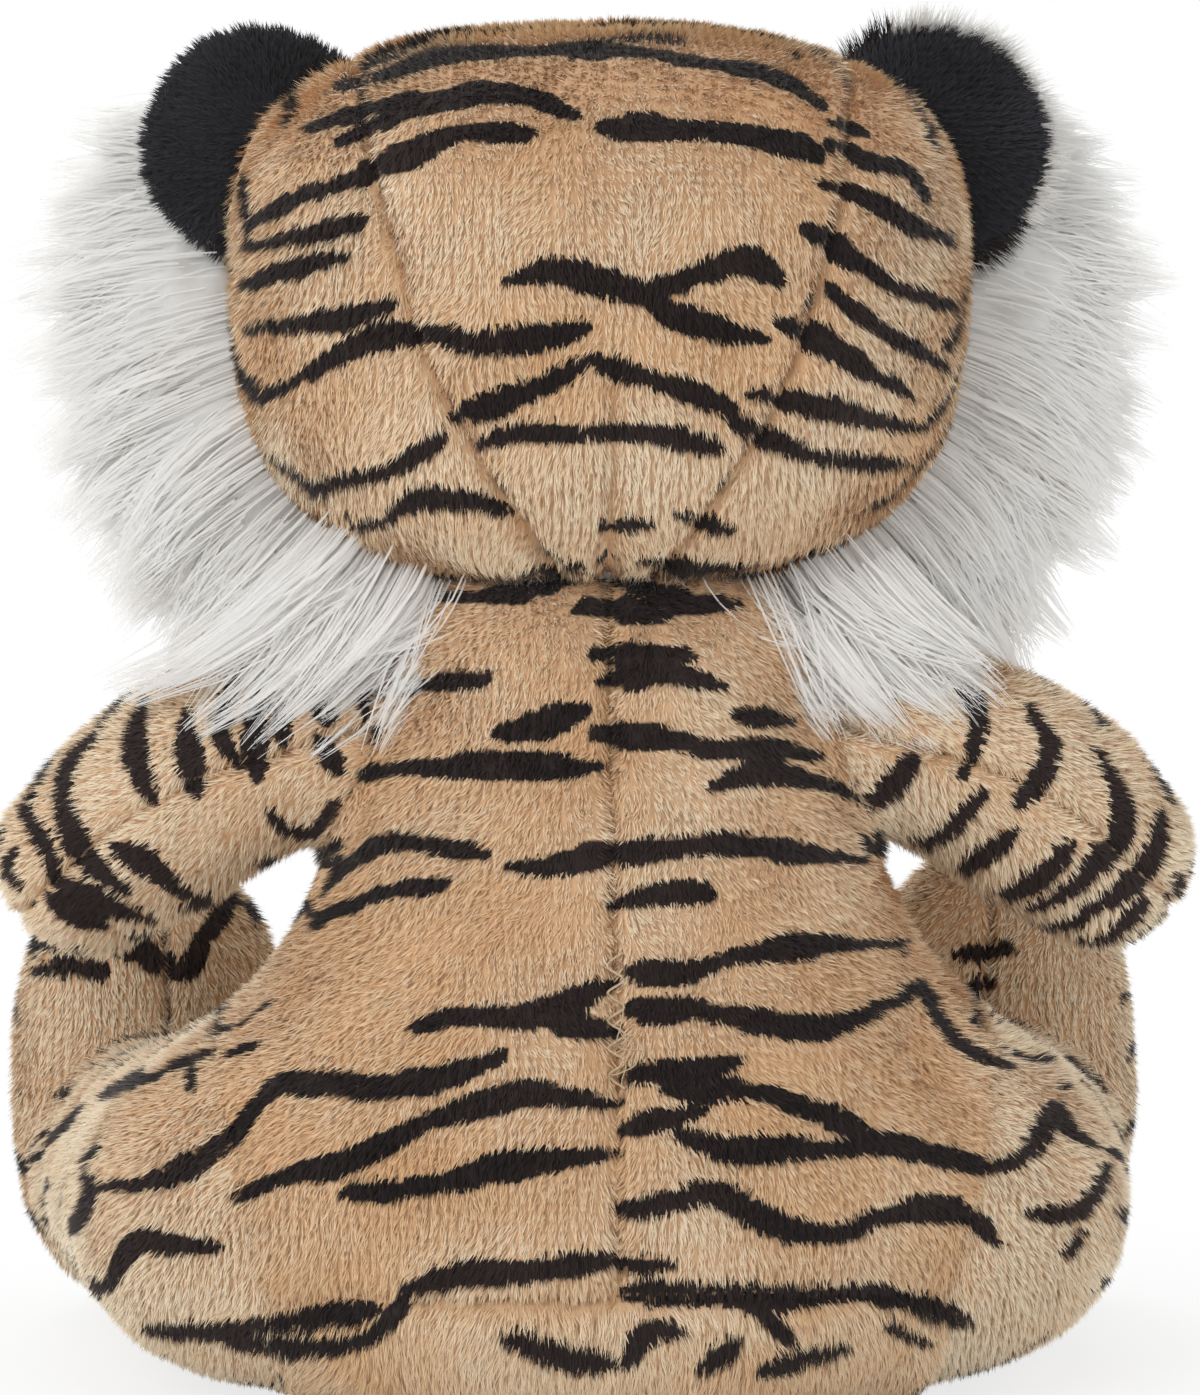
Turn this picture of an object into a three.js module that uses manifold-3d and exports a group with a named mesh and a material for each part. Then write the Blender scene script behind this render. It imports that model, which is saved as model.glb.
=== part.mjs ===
// A seated plush tiger, 25 cm tall: sewn plush panels over fibre filling, with a bag of pellets in its seat.
// Millimetres, +Z up. The toy faces -Y, its own left is +X, and it sits on z = 0.
import * as THREE from "three";
import { mergeVertices } from "three/addons/utils/BufferGeometryUtils.js";
import Module from "manifold-3d";

// Plush cloth and the room between pieces
const plush = {
  thickness: 3, // backing and pile together
  seamGap: 0.3, // between two panels that are sewn together
  seatGap: 0.3, // between a piece and what it is seated on
  swingGap: 0.9, // kept by a limb from what it swings past
  layerGap: 0.5, // between a panel and the filling in it
};

// Torso: a pear on a flat seat
const torso = {
  height: 152,
  halfWidth: 70,
  halfDepth: 55,
  hardness: 2.25, // 2 is an ellipse, more is squarer
  lean: 7, // how far the seat lies behind the neck
};
const torsoHeightShare = [0, 0.02, 0.09, 0.22, 0.36, 0.48, 0.6, 0.72, 0.82, 0.9, 0.955, 0.985, 1];
const torsoWidthShare = [0.56, 0.7, 0.87, 0.97, 0.98, 0.88, 0.755, 0.655, 0.58, 0.54, 0.48, 0.39, 0.22];
const torsoDepthShare = [0.6, 0.73, 0.9, 1, 0.99, 0.91, 0.8, 0.7, 0.61, 0.55, 0.46, 0.36, 0.2];
const torsoLeanShare = [1, 1, 1, 1, 0.95, 0.85, 0.7, 0.55, 0.4, 0.25, 0.15, 0.1, 0.1];

// The seam round the base, which rises towards the back, and the belly's panel above it
const baseSeam = {
  height: 20,
  riseAngle: 7,
};
const belly = {
  halfWidthLow: 38,
  halfWidthHigh: 25,
  belowTop: 22, // from the top of the torso
};

// Neck: a firm ball of filling that carries the head
const neck = {
  ballRadius: 20,
  flatShare: 0.6, // how far below its centre its underside lies, as a share of its radius
  sink: 8, // of its centre below the top of the torso
  nodBackAngle: 8,
  nodForwardAngle: 12,
};

// Head: broad, flat on top, and fuller above than below
const head = {
  halfWidth: 67,
  halfDepth: 52,
  above: 45,
  below: 58,
  hardnessRound: 2.3,
  hardnessUp: 2.7,
  forward: 4, // its centre lies this far in front of the neck
  chinSink: 8, // how far its underside lies below the top of the torso
  faceSeam: 12, // the face begins this far in front of its centre
};
const gussetHalfWidthShare = [0.07, 0.33, 0.49, 0.59, 0.65, 0.68, 0.68];
const gussetHeightShare = [-1, -0.56, -0.19, 0.28, 0.8, 1, 1.2];

// Face
const muzzle = {
  halfWidth: 27,
  halfDepth: 20,
  halfHeight: 19,
  hardnessRound: 2.4,
  hardnessUp: 2.2,
  below: 20,
  sunkShare: 0.35,
  cleft: 2.5,
};
const nose = {
  halfWidth: 9,
  halfDepth: 5,
  halfHeight: 6,
  hardness: 2.2,
  lift: 10,
};
const eye = {
  radius: 6,
  domeHeight: 3.6,
  shankRadius: 2,
  shankLength: 15,
  holeGap: 0.4,
  lowerEdge: 0.8,
  fromMiddle: 25,
  aboveMiddle: 2,
};
const washer = {
  radius: 7,
  thickness: 1.8,
  boreGap: 0.3,
};
const mouth = {
  threadRadius: 0.9,
  drop: 9,
  halfSpan: 10,
  rise: 3,
};
const mouthSpanShare = [-1, -0.6, 0, 0.6, 1];

// Ruff: a crescent of long white pile round each cheek
const ruff = {
  middleRadius: 77, // from the head's centre to the crescent's middle
  halfReach: 30, // from there to its tips
  halfThickness: 10,
  forward: 10,
  centreDrop: 3,
  topAngle: 12,
  lowAngle: -58,
  endShare: 0.5, // how far its ends bulge, as a share of the half reach there
};
const ruffReachShare = [0.5, 0.85, 1, 1, 0.95, 0.7];

// Ears: a black back and a white front, sewn into the head along a slanting line
const ear = {
  halfWidth: 21,
  height: 23,
  halfThickness: 6,
  hardness: 2.2,
  placeAngle: 20, // above level, where it stands on the head
  tiltAngle: 31, // above level, where it points
  sink: 4,
  forward: 6,
  foldAngle: 25, // either way
};

// Arms
const arm = {
  rootRadius: 18,
  halfThickness: 20.5,
  pawHalfThickness: 18,
  tipShare: 0.85, // how far the paw's end bulges, as a share of its half thickness
  length: 49, // from the shoulder's centre to the paw's centre
  droopAngle: 29, // below level
  forwardAngle: 14, // in front of straight out
  openShare: 1.3, // how far the hollow in its skin comes out at the shoulder, where the skin is sewn on
  bow: 4, // how far its middle lies above the straight line
  belowTop: 34, // of the shoulder's centre below the top of the torso
  standOff: 9, // of the shoulder's centre from the torso
};
const armThicknessShare = [0, 0.6, 1, 1, 0];

// Legs: a thigh that lies beside the seat, and a foot that stands at its end
const leg = {
  hipRadius: 31,
  hipHeight: 34,
  hipSpread: 65, // from the middle to the hip's centre
  hipForward: 2, // from the torso's middle
  ankleHalfWidth: 25,
  ankleHalfHeight: 26,
  openShare: 0.7, // how far into the torso the thigh's skin reaches, as a share of the hip's radius
  endShare: 0.3, // how far its end bulges into the foot, as a share of the ankle's half width
  lift: 3, // of its underside from the floor
  length: 72,
  closestAngle: 6, // outwards of straight ahead, where it touches the torso
  leftOutAngle: 6, // that the left leg lies further out than that
  rightOutAngle: 5,
};
const foot = {
  halfWidth: 28,
  halfHeight: 44.5,
  halfDepth: 20,
  hardness: 2.4,
  overlap: 8,
  soleDepth: 7,
  floorCut: 0.5,
};

// Pellet bag in the seat, and the stitches that close the back seam
const pelletBag = {
  halfWidth: 27,
  halfDepth: 32,
  height: 15,
  hardness: 3,
  sunkShare: 0.35,
};
const closing = {
  threadRadius: 0.7,
  halfWidth: 1.8,
  stitches: 5,
  pitch: 4.5,
  heightShare: 0.42,
};

// Fineness of the faceted forms
const around = { torso: 24, head: 24, limb: 14, ear: 14, filling: 16, small: 10 };
const rings = { torso: 14, head: 12, limb: 4, cap: 3, ear: 8, filling: 8, small: 6 };
const curveSteps = 12;
const domeSteps = 4;
const halvings = 40; // of the range in which a place is sought

const colours = {
  tan: 0xd9b27c,
  cream: 0xefe3cf,
  white: 0xeeeeea,
  black: 0x17171b,
  eyeBrown: 0x2a1508,
  noseBrown: 0x3b2622,
  fibre: 0xf2f2f0,
  pelletCloth: 0xd8d4c6,
  thread: 0xe0d6c4,
  darkThread: 0x1d1614,
  washerWhite: 0xe8e8e4,
};

const wasm = await Module();
wasm.setup();

const radians = THREE.MathUtils.degToRad;
const upwards = new THREE.Vector3(0, 0, 1);
const far = 4 * torso.height; // beyond every surface of the toy
const fine = Array.from({ length: curveSteps + 1 }, (_, n) => n / curveSteps); // even steps along a curve

// Closed solids from geometries and back

function solidOf(geometry) {
  const bare = new THREE.BufferGeometry();
  const loose = geometry.index ? geometry.toNonIndexed() : geometry;
  bare.setAttribute("position", loose.getAttribute("position"));
  const merged = mergeVertices(bare, plush.seamGap / 1000);
  const mesh = new wasm.Mesh({
    numProp: 3,
    vertProperties: merged.attributes.position.array,
    triVerts: new Uint32Array(merged.index.array),
  });
  return new wasm.Manifold(mesh);
}

function geometryOf(solid) {
  const { vertProperties, triVerts } = solid.getMesh();
  const geometry = new THREE.BufferGeometry();
  geometry.setAttribute("position", new THREE.BufferAttribute(new Float32Array(vertProperties), 3));
  geometry.setIndex(new THREE.BufferAttribute(new Uint32Array(triVerts), 1));
  geometry.computeVertexNormals();
  return geometry;
}

function box(low, high) {
  const size = high.clone().sub(low);
  const middle = low.clone().add(high).multiplyScalar(0.5);
  return solidOf(new THREE.BoxGeometry(size.x, size.y, size.z).translate(middle.x, middle.y, middle.z));
}

function turned(solid, pivot, axis, degrees) {
  const there = new THREE.Matrix4().makeTranslation(pivot.x, pivot.y, pivot.z);
  const back = new THREE.Matrix4().makeTranslation(-pivot.x, -pivot.y, -pivot.z);
  const turn = new THREE.Matrix4().makeRotationAxis(axis, radians(degrees));
  return solid.transform(there.multiply(turn).multiply(back).elements);
}

// Takes from a piece all that the fixed solid reaches while the piece swings through these angles
function clearOfSwing(piece, fixed, pivot, axis, angles) {
  return angles.reduce((kept, degrees) => kept.subtract(turned(fixed, pivot, axis, -degrees)), piece);
}

// A slab with a left and a right edge alike, given from the bottom up, that ends at this depth
function prism(edge, depth) {
  const other = edge.map((point) => new THREE.Vector2(-point.x, point.y)).reverse();
  const outline = new THREE.Shape([...edge, ...other]);
  const slab = new THREE.ExtrudeGeometry(outline, { depth: far, bevelEnabled: false });
  return solidOf(slab.rotateX(Math.PI / 2).translate(0, depth, 0));
}

// Smooth forms

// A curve through evenly spaced values, as a Catmull-Rom spline
function through(values, share) {
  const last = values.length - 1;
  const place = Math.min(Math.max(share, 0), 1) * last;
  const at = Math.min(Math.floor(place), last - 1);
  const t = place - at;
  const valueAt = (n) => values[Math.min(Math.max(n, 0), last)];
  const [p0, p1, p2, p3] = [at - 1, at, at + 1, at + 2].map(valueAt);
  const v0 = (p2 - p0) / 2;
  const v1 = (p3 - p1) / 2;
  return ((2 * (p1 - p2) + v0 + v1) * t + 3 * (p2 - p1) - 2 * v0 - v1) * t * t + v0 * t + p1;
}

// The value of one spline where another, rising one, reaches a height
function valueAt(heights, values, height) {
  let low = 0;
  let high = 1;
  for (let n = 0; n < halvings; n++) {
    const middle = (low + high) / 2;
    if (through(heights, middle) < height) low = middle;
    else high = middle;
  }
  return through(values, low);
}

const bend = (value, hardness) => Math.sign(value) * Math.abs(value) ** (2 / hardness);

function ring(centre, side, up, halfSide, halfUp, hardness, count) {
  return Array.from({ length: count }, (_, n) => {
    const angle = (2 * Math.PI * n) / count;
    return centre
      .clone()
      .addScaledVector(side, halfSide * bend(Math.cos(angle), hardness))
      .addScaledVector(up, halfUp * bend(Math.sin(angle), hardness));
  });
}

// A closed skin over rings of equally many points, from one pole to the other
function skinOver(circles, startPole, endPole) {
  const count = circles[0].length;
  const points = [startPole, ...circles.flat(), endPole];
  const end = points.length - 1;
  const index = [];
  for (let j = 0; j < count; j++) {
    const next = (j + 1) % count;
    index.push(0, 1 + next, 1 + j);
    for (let i = 0; i < circles.length - 1; i++) {
      const a = 1 + i * count;
      const b = a + count;
      index.push(a + j, a + next, b + next, a + j, b + next, b + j);
    }
    const top = 1 + (circles.length - 1) * count;
    index.push(end, top + j, top + next);
  }
  const geometry = new THREE.BufferGeometry().setFromPoints(points);
  geometry.setIndex(index);
  return solidOf(geometry);
}

// A superellipsoid about the origin, with its own heights above and below its widest line
function ball(half, hardnessRound, hardnessUp, count, levels) {
  const side = new THREE.Vector3(1, 0, 0);
  const back = new THREE.Vector3(0, 1, 0);
  const circles = [];
  for (let i = 1; i < levels; i++) {
    const latitude = Math.PI * (i / levels - 1 / 2);
    const width = bend(Math.cos(latitude), hardnessUp);
    const height = bend(Math.sin(latitude), hardnessUp) * (latitude < 0 ? half.below : half.above);
    const centre = new THREE.Vector3(0, 0, height);
    circles.push(ring(centre, side, back, half.x * width, half.y * width, hardnessRound, count));
  }
  return skinOver(circles, new THREE.Vector3(0, 0, -half.below), new THREE.Vector3(0, 0, half.above));
}

function roundBall(radius, centre, count = around.small, levels = rings.small) {
  const half = { x: radius, y: radius, above: radius, below: radius };
  return ball(half, 2, 2, count, levels).translate(centre.toArray());
}

// A limb along a line of stations, each with a place and two half sizes, with a round end before the first
// and past the last: each bulges by its share of the half size there
function limb(stations, ends, inset = 0, count = around.limb, steps = rings.limb, level = upwards) {
  const value = (key, share) => through(stations.map((station) => station[key]), share);
  const place = (share) => new THREE.Vector3(value("x", share), value("y", share), value("z", share));
  const step = 1 / steps;
  const frameAt = (share) => {
    const ahead = place(share + step / 10).sub(place(share - step / 10)).normalize();
    const side = new THREE.Vector3().crossVectors(level, ahead).normalize();
    return { ahead, side, up: new THREE.Vector3().crossVectors(ahead, side) };
  };
  const ringAt = (share, forward, shrink) => {
    const { ahead, side, up } = frameAt(share);
    const halfSide = (value("halfSide", share) - inset) * shrink;
    const halfUp = (value("halfUp", share) - inset) * shrink;
    return ring(place(share).addScaledVector(ahead, forward), side, up, halfSide, halfUp, 2, count);
  };
  const startBulge = value("halfSide", 0) * ends.start - inset;
  const endBulge = value("halfSide", 1) * ends.end - inset;
  const capAngles = Array.from({ length: rings.cap - 1 }, (_, n) => (Math.PI / 2) * ((n + 1) / rings.cap));
  const before = capAngles
    .map((angle) => ringAt(0, -startBulge * Math.sin(angle), Math.cos(angle)))
    .reverse();
  const along = Array.from({ length: steps + 1 }, (_, n) => ringAt(n * step, 0, 1));
  const after = capAngles.map((angle) => ringAt(1, endBulge * Math.sin(angle), Math.cos(angle)));
  const startPole = place(0).addScaledVector(frameAt(0).ahead, -startBulge);
  const endPole = place(1).addScaledVector(frameAt(1).ahead, endBulge);
  return skinOver([...before, ...along, ...after], startPole, endPole);
}

// How far the flats of a faceted form can lie inside the round form, with flats both round it and up it
const flatness = (radius, count) => radius * (1 - Math.cos(Math.PI / count) ** 2);

// Everything above a limb's own middle surface, for parting its skin along the seam there
function aboveMiddle(stations, gap) {
  const places = stations.map((station) => new THREE.Vector3(station.x, station.y, station.z));
  const last = places.length - 1;
  const aheadFirst = places[1].clone().sub(places[0]).normalize();
  const aheadLast = places[last].clone().sub(places[last - 1]).normalize();
  const centres = [places[0].clone().addScaledVector(aheadFirst, -torso.halfWidth), ...places];
  centres.push(places[last].clone().addScaledVector(aheadLast, torso.halfWidth));
  const circles = centres.map((centre, n) => {
    const ahead = centres[Math.min(n + 1, last + 2)].clone().sub(centres[Math.max(n - 1, 0)]).normalize();
    const side = new THREE.Vector3().crossVectors(upwards, ahead).normalize();
    const up = new THREE.Vector3().crossVectors(ahead, side);
    const corner = (high, wide) =>
      centre
        .clone()
        .addScaledVector(up, gap + high * torso.halfWidth)
        .addScaledVector(side, wide * torso.halfWidth);
    return [corner(0, 1), corner(1, 1), corner(1, -1), corner(0, -1)];
  });
  const total = (corners) => corners.reduce((sum, p) => sum.add(p), new THREE.Vector3());
  const middle = (corners) => total(corners).divideScalar(corners.length);
  return skinOver(circles, middle(circles[0]), middle(circles[circles.length - 1]));
}

// Torso

const torsoHeights = torsoHeightShare.map((share) => share * torso.height);
const torsoAt = (table, height) => valueAt(torsoHeights, table, height);

function torsoForm(inset = 0, count = around.torso, levels = rings.torso) {
  const side = new THREE.Vector3(1, 0, 0);
  const back = new THREE.Vector3(0, 1, 0);
  const circles = [];
  for (let i = 0; i <= levels; i++) {
    const share = i / levels;
    const spread = through(torsoHeights, share);
    const height = inset + (spread * (torso.height - 2 * inset)) / torso.height;
    const centre = new THREE.Vector3(0, torso.lean * through(torsoLeanShare, share), height);
    const halfWidth = torso.halfWidth * through(torsoWidthShare, share) - inset;
    const halfDepth = torso.halfDepth * through(torsoDepthShare, share) - inset;
    circles.push(ring(centre, side, back, halfWidth, halfDepth, torso.hardness, count));
  }
  const leanAt = (share) => torso.lean * through(torsoLeanShare, share);
  const poleAt = (share, height) => new THREE.Vector3(0, leanAt(share), height);
  return skinOver(circles, poleAt(0, inset), poleAt(1, torso.height - inset));
}

// Where the neck's ball, the shoulders and the hips are centred
const neckCentre = new THREE.Vector3(0, 0, torso.height - neck.sink);
const shoulderHeight = torso.height - arm.belowTop;
const shoulderCentre = new THREE.Vector3(
  torso.halfWidth * torsoAt(torsoWidthShare, shoulderHeight) + arm.standOff,
  0,
  shoulderHeight,
);
const hipCentre = new THREE.Vector3(leg.hipSpread, torso.lean - leg.hipForward, leg.hipHeight);

const sides = { left: 1, right: -1 };
const mirror = (solid) => solid.mirror([1, 0, 0]);
const bothSides = (solid) => solid.add(mirror(solid));

// A seat is as much wider than its ball as the flats of both need for the ball to turn in it
function seatFor(radius, centre) {
  const room = plush.seatGap + flatness(radius, around.filling);
  return roundBall(radius + room, centre, around.filling, rings.filling);
}

// The neck stands on a flat underside, so that it can turn without leaving its seat in the torso
const above = (height) => box(new THREE.Vector3(-far, -far, height), new THREE.Vector3(far, far, far));
const neckFloor = neckCentre.z - neck.ballRadius * neck.flatShare;
const roundNeck = roundBall(neck.ballRadius, neckCentre, around.filling, rings.filling);
const neckBall = roundNeck.intersect(above(neckFloor));
const neckSeat = seatFor(neck.ballRadius, neckCentre);
const torsoSeats = neckSeat
  .intersect(above(neckFloor - plush.seatGap))
  .add(bothSides(seatFor(arm.rootRadius, shoulderCentre)))
  .add(bothSides(seatFor(leg.hipRadius, hipCentre)));

// What the limbs and the ruff keep clear of
const torsoClearance = plush.swingGap + flatness(torso.halfWidth, around.filling);
const torsoRoom = torsoForm(-torsoClearance, around.filling, rings.filling);

function torsoPanels() {
  const hollow = torsoForm(plush.thickness, around.filling, rings.filling);
  const shell = torsoForm().subtract(hollow).subtract(torsoSeats);
  const half = plush.seamGap / 2;
  const belowSeam = (rise) =>
    box(new THREE.Vector3(-far, -far, -far), new THREE.Vector3(far, far, 0))
      .rotate([baseSeam.riseAngle, 0, 0])
      .translate([0, 0, baseSeam.height + rise]);
  const bellyTop = torso.height - belly.belowTop;
  const bellyPrism = (grow) => {
    const edge = fine.map((share) => {
      const narrowing = belly.halfWidthLow - belly.halfWidthHigh;
      const width = belly.halfWidthHigh + narrowing * Math.sqrt(1 - share * share);
      return new THREE.Vector2(width + grow, (bellyTop + grow) * share);
    });
    return prism(edge, 0);
  };
  const base = shell.intersect(belowSeam(-half));
  const walls = shell.subtract(belowSeam(half));
  const front = walls.intersect(bellyPrism(-half));
  const rest = walls.subtract(bellyPrism(half));
  const leftHalf = box(new THREE.Vector3(half, -far, -far), new THREE.Vector3(far, far, far));
  const rightHalf = box(new THREE.Vector3(-far, -far, -far), new THREE.Vector3(-half, far, far));
  return {
    base_panel: largest(base),
    belly_panel: largest(front),
    torso_back_left: largest(rest.intersect(leftHalf)),
    torso_back_right: largest(rest.intersect(rightHalf)),
  };
}

// The main body of a cut piece, without the crumbs that a cut can leave
function largest(solid) {
  const bodies = solid.decompose();
  return bodies.reduce((best, body) => (body.volume() > best.volume() ? body : best));
}

// The pellet bag lies on the base panel, so its underside is flat
const bagFloor = plush.thickness + plush.layerGap;
const bagCentre = new THREE.Vector3(0, torso.lean, bagFloor + pelletBag.height * pelletBag.sunkShare);

function bagForm(grow = 0) {
  const tall = pelletBag.height * (1 - pelletBag.sunkShare) + grow;
  const half = { x: pelletBag.halfWidth + grow, y: pelletBag.halfDepth + grow, above: tall, below: tall };
  return ball(half, pelletBag.hardness, 2, around.limb, rings.small).translate(bagCentre.toArray());
}

const pelletBagSolid = () => bagForm().intersect(above(bagFloor));

function torsoFilling() {
  const inside = torsoForm(plush.thickness + plush.layerGap, around.filling, rings.filling);
  return largest(inside.subtract(torsoSeats).subtract(bagForm(plush.layerGap)));
}

// Closing stitches: one thread that zigzags across the back seam
function closingThread() {
  const start = closing.heightShare * torso.height;
  const crossings = 2 * closing.stitches;
  const points = Array.from({ length: crossings + 1 }, (_, n) => {
    const height = start + (n * closing.pitch) / 2;
    const share = torsoAt(torsoDepthShare, height);
    const lean = torsoAt(torsoLeanShare, height);
    const stand = closing.threadRadius + plush.seatGap;
    const out = torso.lean * lean + torso.halfDepth * share + stand;
    return new THREE.Vector3(closing.halfWidth * (n % 2 ? 1 : -1), out, height);
  });
  return thread(points, closing.threadRadius, 2 * crossings);
}

// A sewing thread: a round section carried along a curve through its points
function thread(points, radius, steps) {
  const section = new THREE.Shape();
  section.absarc(0, 0, radius, 0, 2 * Math.PI);
  const path = new THREE.CatmullRomCurve3(points);
  const options = { steps, extrudePath: path, bevelEnabled: false, curveSegments: 3 };
  return solidOf(new THREE.ExtrudeGeometry(section, options));
}

// Head

const headCentre = new THREE.Vector3(0, -head.forward, torso.height - head.chinSink + head.below);

function headForm(inset = 0, count = around.head, levels = rings.head) {
  const half = {
    x: head.halfWidth - inset,
    y: head.halfDepth - inset,
    above: head.above - inset,
    below: head.below - inset,
  };
  return ball(half, head.hardnessRound, head.hardnessUp, count, levels).translate(headCentre.toArray());
}

// How far the head's skin lies in front of its centre, at a place across and above that centre
function headFront(across, above) {
  const tall = above < 0 ? head.below : head.above;
  const level = (1 - Math.abs(above / tall) ** head.hardnessUp) ** (1 / head.hardnessUp);
  const width = Math.min(Math.abs(across) / (head.halfWidth * level), 1);
  return head.halfDepth * level * (1 - width ** head.hardnessRound) ** (1 / head.hardnessRound);
}

// The head's underside is hollowed where the shoulders stand in it. The hollow is round, and its wall is
// the torso's outline tilted outwards by the widest nod, so the head can nod and turn over it.
function headRecess() {
  const tilt = radians(Math.max(neck.nodBackAngle, neck.nodForwardAngle));
  const low = shoulderHeight / torso.height;
  const wall = fine.map((share) => {
    const height = torso.height * (low + (1 - low) * share);
    const radius = torso.halfWidth * torsoAt(torsoWidthShare, height) + plush.swingGap;
    const rise = height + plush.swingGap - neckCentre.z;
    return [
      radius * Math.cos(tilt) - rise * Math.sin(tilt),
      radius * Math.sin(tilt) + rise * Math.cos(tilt),
    ];
  });
  const profile = [[0, wall[0][1]], ...wall, [0, wall[wall.length - 1][1]]];
  return revolve(profile, around.filling).translate(neckCentre.toArray());
}

function gussetPrism(grow) {
  const edge = fine.map((share) => {
    const level = through(gussetHeightShare, share);
    const height = level * (level < 0 ? head.below : head.above);
    const width = head.halfWidth * through(gussetHalfWidthShare, share);
    return new THREE.Vector2(width + grow, headCentre.z + height);
  });
  return prism(edge, headCentre.y + far);
}

// The eyes sit square on the face
const eyePlaces = Object.entries(sides).map(([name, sign]) => {
  const front = headFront(eye.fromMiddle, eye.aboveMiddle);
  const offset = new THREE.Vector3(sign * eye.fromMiddle, -front, eye.aboveMiddle);
  const step = plush.thickness;
  const slope = (headFront(eye.fromMiddle + step, eye.aboveMiddle) - front) / step;
  const out = new THREE.Vector3(-sign * slope, -1, 0).normalize();
  return { name, sign, place: headCentre.clone().add(offset), out };
});

// Stands a piece that was made along +Z on the face, along the eye's own line
function onEyeLine(solid, spot, along) {
  const turn = new THREE.Quaternion().setFromUnitVectors(upwards, spot.out);
  const place = spot.place.clone().addScaledVector(spot.out, along);
  const matrix = new THREE.Matrix4().compose(place, turn, new THREE.Vector3(1, 1, 1));
  return solid.transform(matrix.elements);
}

function revolve(points, count = around.small) {
  const profile = points.map(([r, z]) => new THREE.Vector2(r, z));
  return solidOf(new THREE.LatheGeometry(profile, count).rotateX(Math.PI / 2));
}

// A safety eye: a low dome, its rim, and the shank that a washer locks behind the cloth
function eyeSolid() {
  const dome = [];
  for (let n = 0; n <= domeSteps; n++) {
    const angle = (Math.PI / 2) * (n / domeSteps);
    dome.push([eye.radius * Math.cos(angle), eye.lowerEdge + eye.domeHeight * Math.sin(angle)]);
  }
  dome[dome.length - 1][0] = 0;
  return revolve([
    [0, -eye.shankLength],
    [eye.shankRadius, -eye.shankLength],
    [eye.shankRadius, 0],
    [eye.radius, 0],
    ...dome,
  ]);
}

const eyeHole = () =>
  revolve([
    [0, -2 * eye.shankLength],
    [eye.shankRadius + eye.holeGap, -2 * eye.shankLength],
    [eye.shankRadius + eye.holeGap, eye.shankLength],
    [0, eye.shankLength],
  ]);

// The room behind the cloth for the washer and the shank's end
const washerRoom = () =>
  revolve([
    [0, -eye.shankLength - plush.layerGap],
    [washer.radius + plush.layerGap, -eye.shankLength - plush.layerGap],
    [washer.radius + plush.layerGap, eye.shankLength],
    [0, eye.shankLength],
  ]);

function washerSolid() {
  const bore = eye.shankRadius + washer.boreGap;
  return revolve([
    [bore, -washer.thickness],
    [washer.radius, -washer.thickness],
    [washer.radius, 0],
    [bore, 0],
    [bore, -washer.thickness],
  ]);
}

// The washer lies against the inside of the face, which curves away from it and is flat between its edges
const eyeSeatDepth = plush.layerGap;
const washerSlack = washer.radius ** 2 / head.halfWidth + flatness(head.halfWidth, around.filling);
const washerDepth = plush.thickness + 2 * plush.layerGap + washerSlack;

const muzzleCentre = new THREE.Vector3(
  0,
  headCentre.y - headFront(0, -muzzle.below) - muzzle.halfDepth * (1 - 2 * muzzle.sunkShare),
  headCentre.z - muzzle.below,
);

function muzzleForm() {
  const half = {
    x: muzzle.halfWidth,
    y: muzzle.halfDepth,
    above: muzzle.halfHeight,
    below: muzzle.halfHeight,
  };
  const upright = ball(half, muzzle.hardnessRound, muzzle.hardnessUp, around.filling, rings.filling);
  const whole = upright.translate(muzzleCentre.toArray());
  const front = muzzleCentre.y - muzzle.halfDepth;
  const cleft = box(
    new THREE.Vector3(-muzzle.cleft / 2, front - muzzle.cleft, muzzleCentre.z - muzzle.halfHeight),
    new THREE.Vector3(muzzle.cleft / 2, front + muzzle.cleft, muzzleCentre.z),
  );
  return largest(whole.subtract(headForm(-plush.seatGap)).subtract(cleft));
}

const noseCentre = new THREE.Vector3(
  0,
  muzzleCentre.y - muzzle.halfDepth * Math.sqrt(1 - (nose.lift / muzzle.halfHeight) ** 2),
  muzzleCentre.z + nose.lift,
);

function noseForm(muzzleSolid) {
  const half = { x: nose.halfWidth, y: nose.halfDepth, above: nose.halfHeight, below: nose.halfHeight };
  const whole = ball(half, nose.hardness, 2, around.small, rings.small).translate(noseCentre.toArray());
  const grown = muzzleSolid.add(muzzleSolid.translate([0, -plush.seatGap, 0]));
  return largest(whole.subtract(grown).subtract(grown.translate([0, 0, plush.seatGap])));
}

// The mouth is one embroidered line: down from the nose, then out and up on both sides
function mouthThread() {
  const depthAt = (x, z) => {
    const tall = Math.abs((z - muzzleCentre.z) / muzzle.halfHeight);
    const level = (1 - tall ** muzzle.hardnessUp) ** (1 / muzzle.hardnessUp);
    const width = Math.abs(x) / (muzzle.halfWidth * level);
    const bulge = (1 - width ** muzzle.hardnessRound) ** (1 / muzzle.hardnessRound);
    return muzzleCentre.y - muzzle.halfDepth * level * bulge;
  };
  const low = muzzleCentre.z - mouth.drop;
  const points = mouthSpanShare.map((share) => {
    const x = mouth.halfSpan * share;
    const z = low + mouth.rise * share ** 2;
    return new THREE.Vector3(x, depthAt(x, z) - mouth.threadRadius - plush.seatGap, z);
  });
  return thread(points, mouth.threadRadius, 3 * points.length);
}

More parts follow.
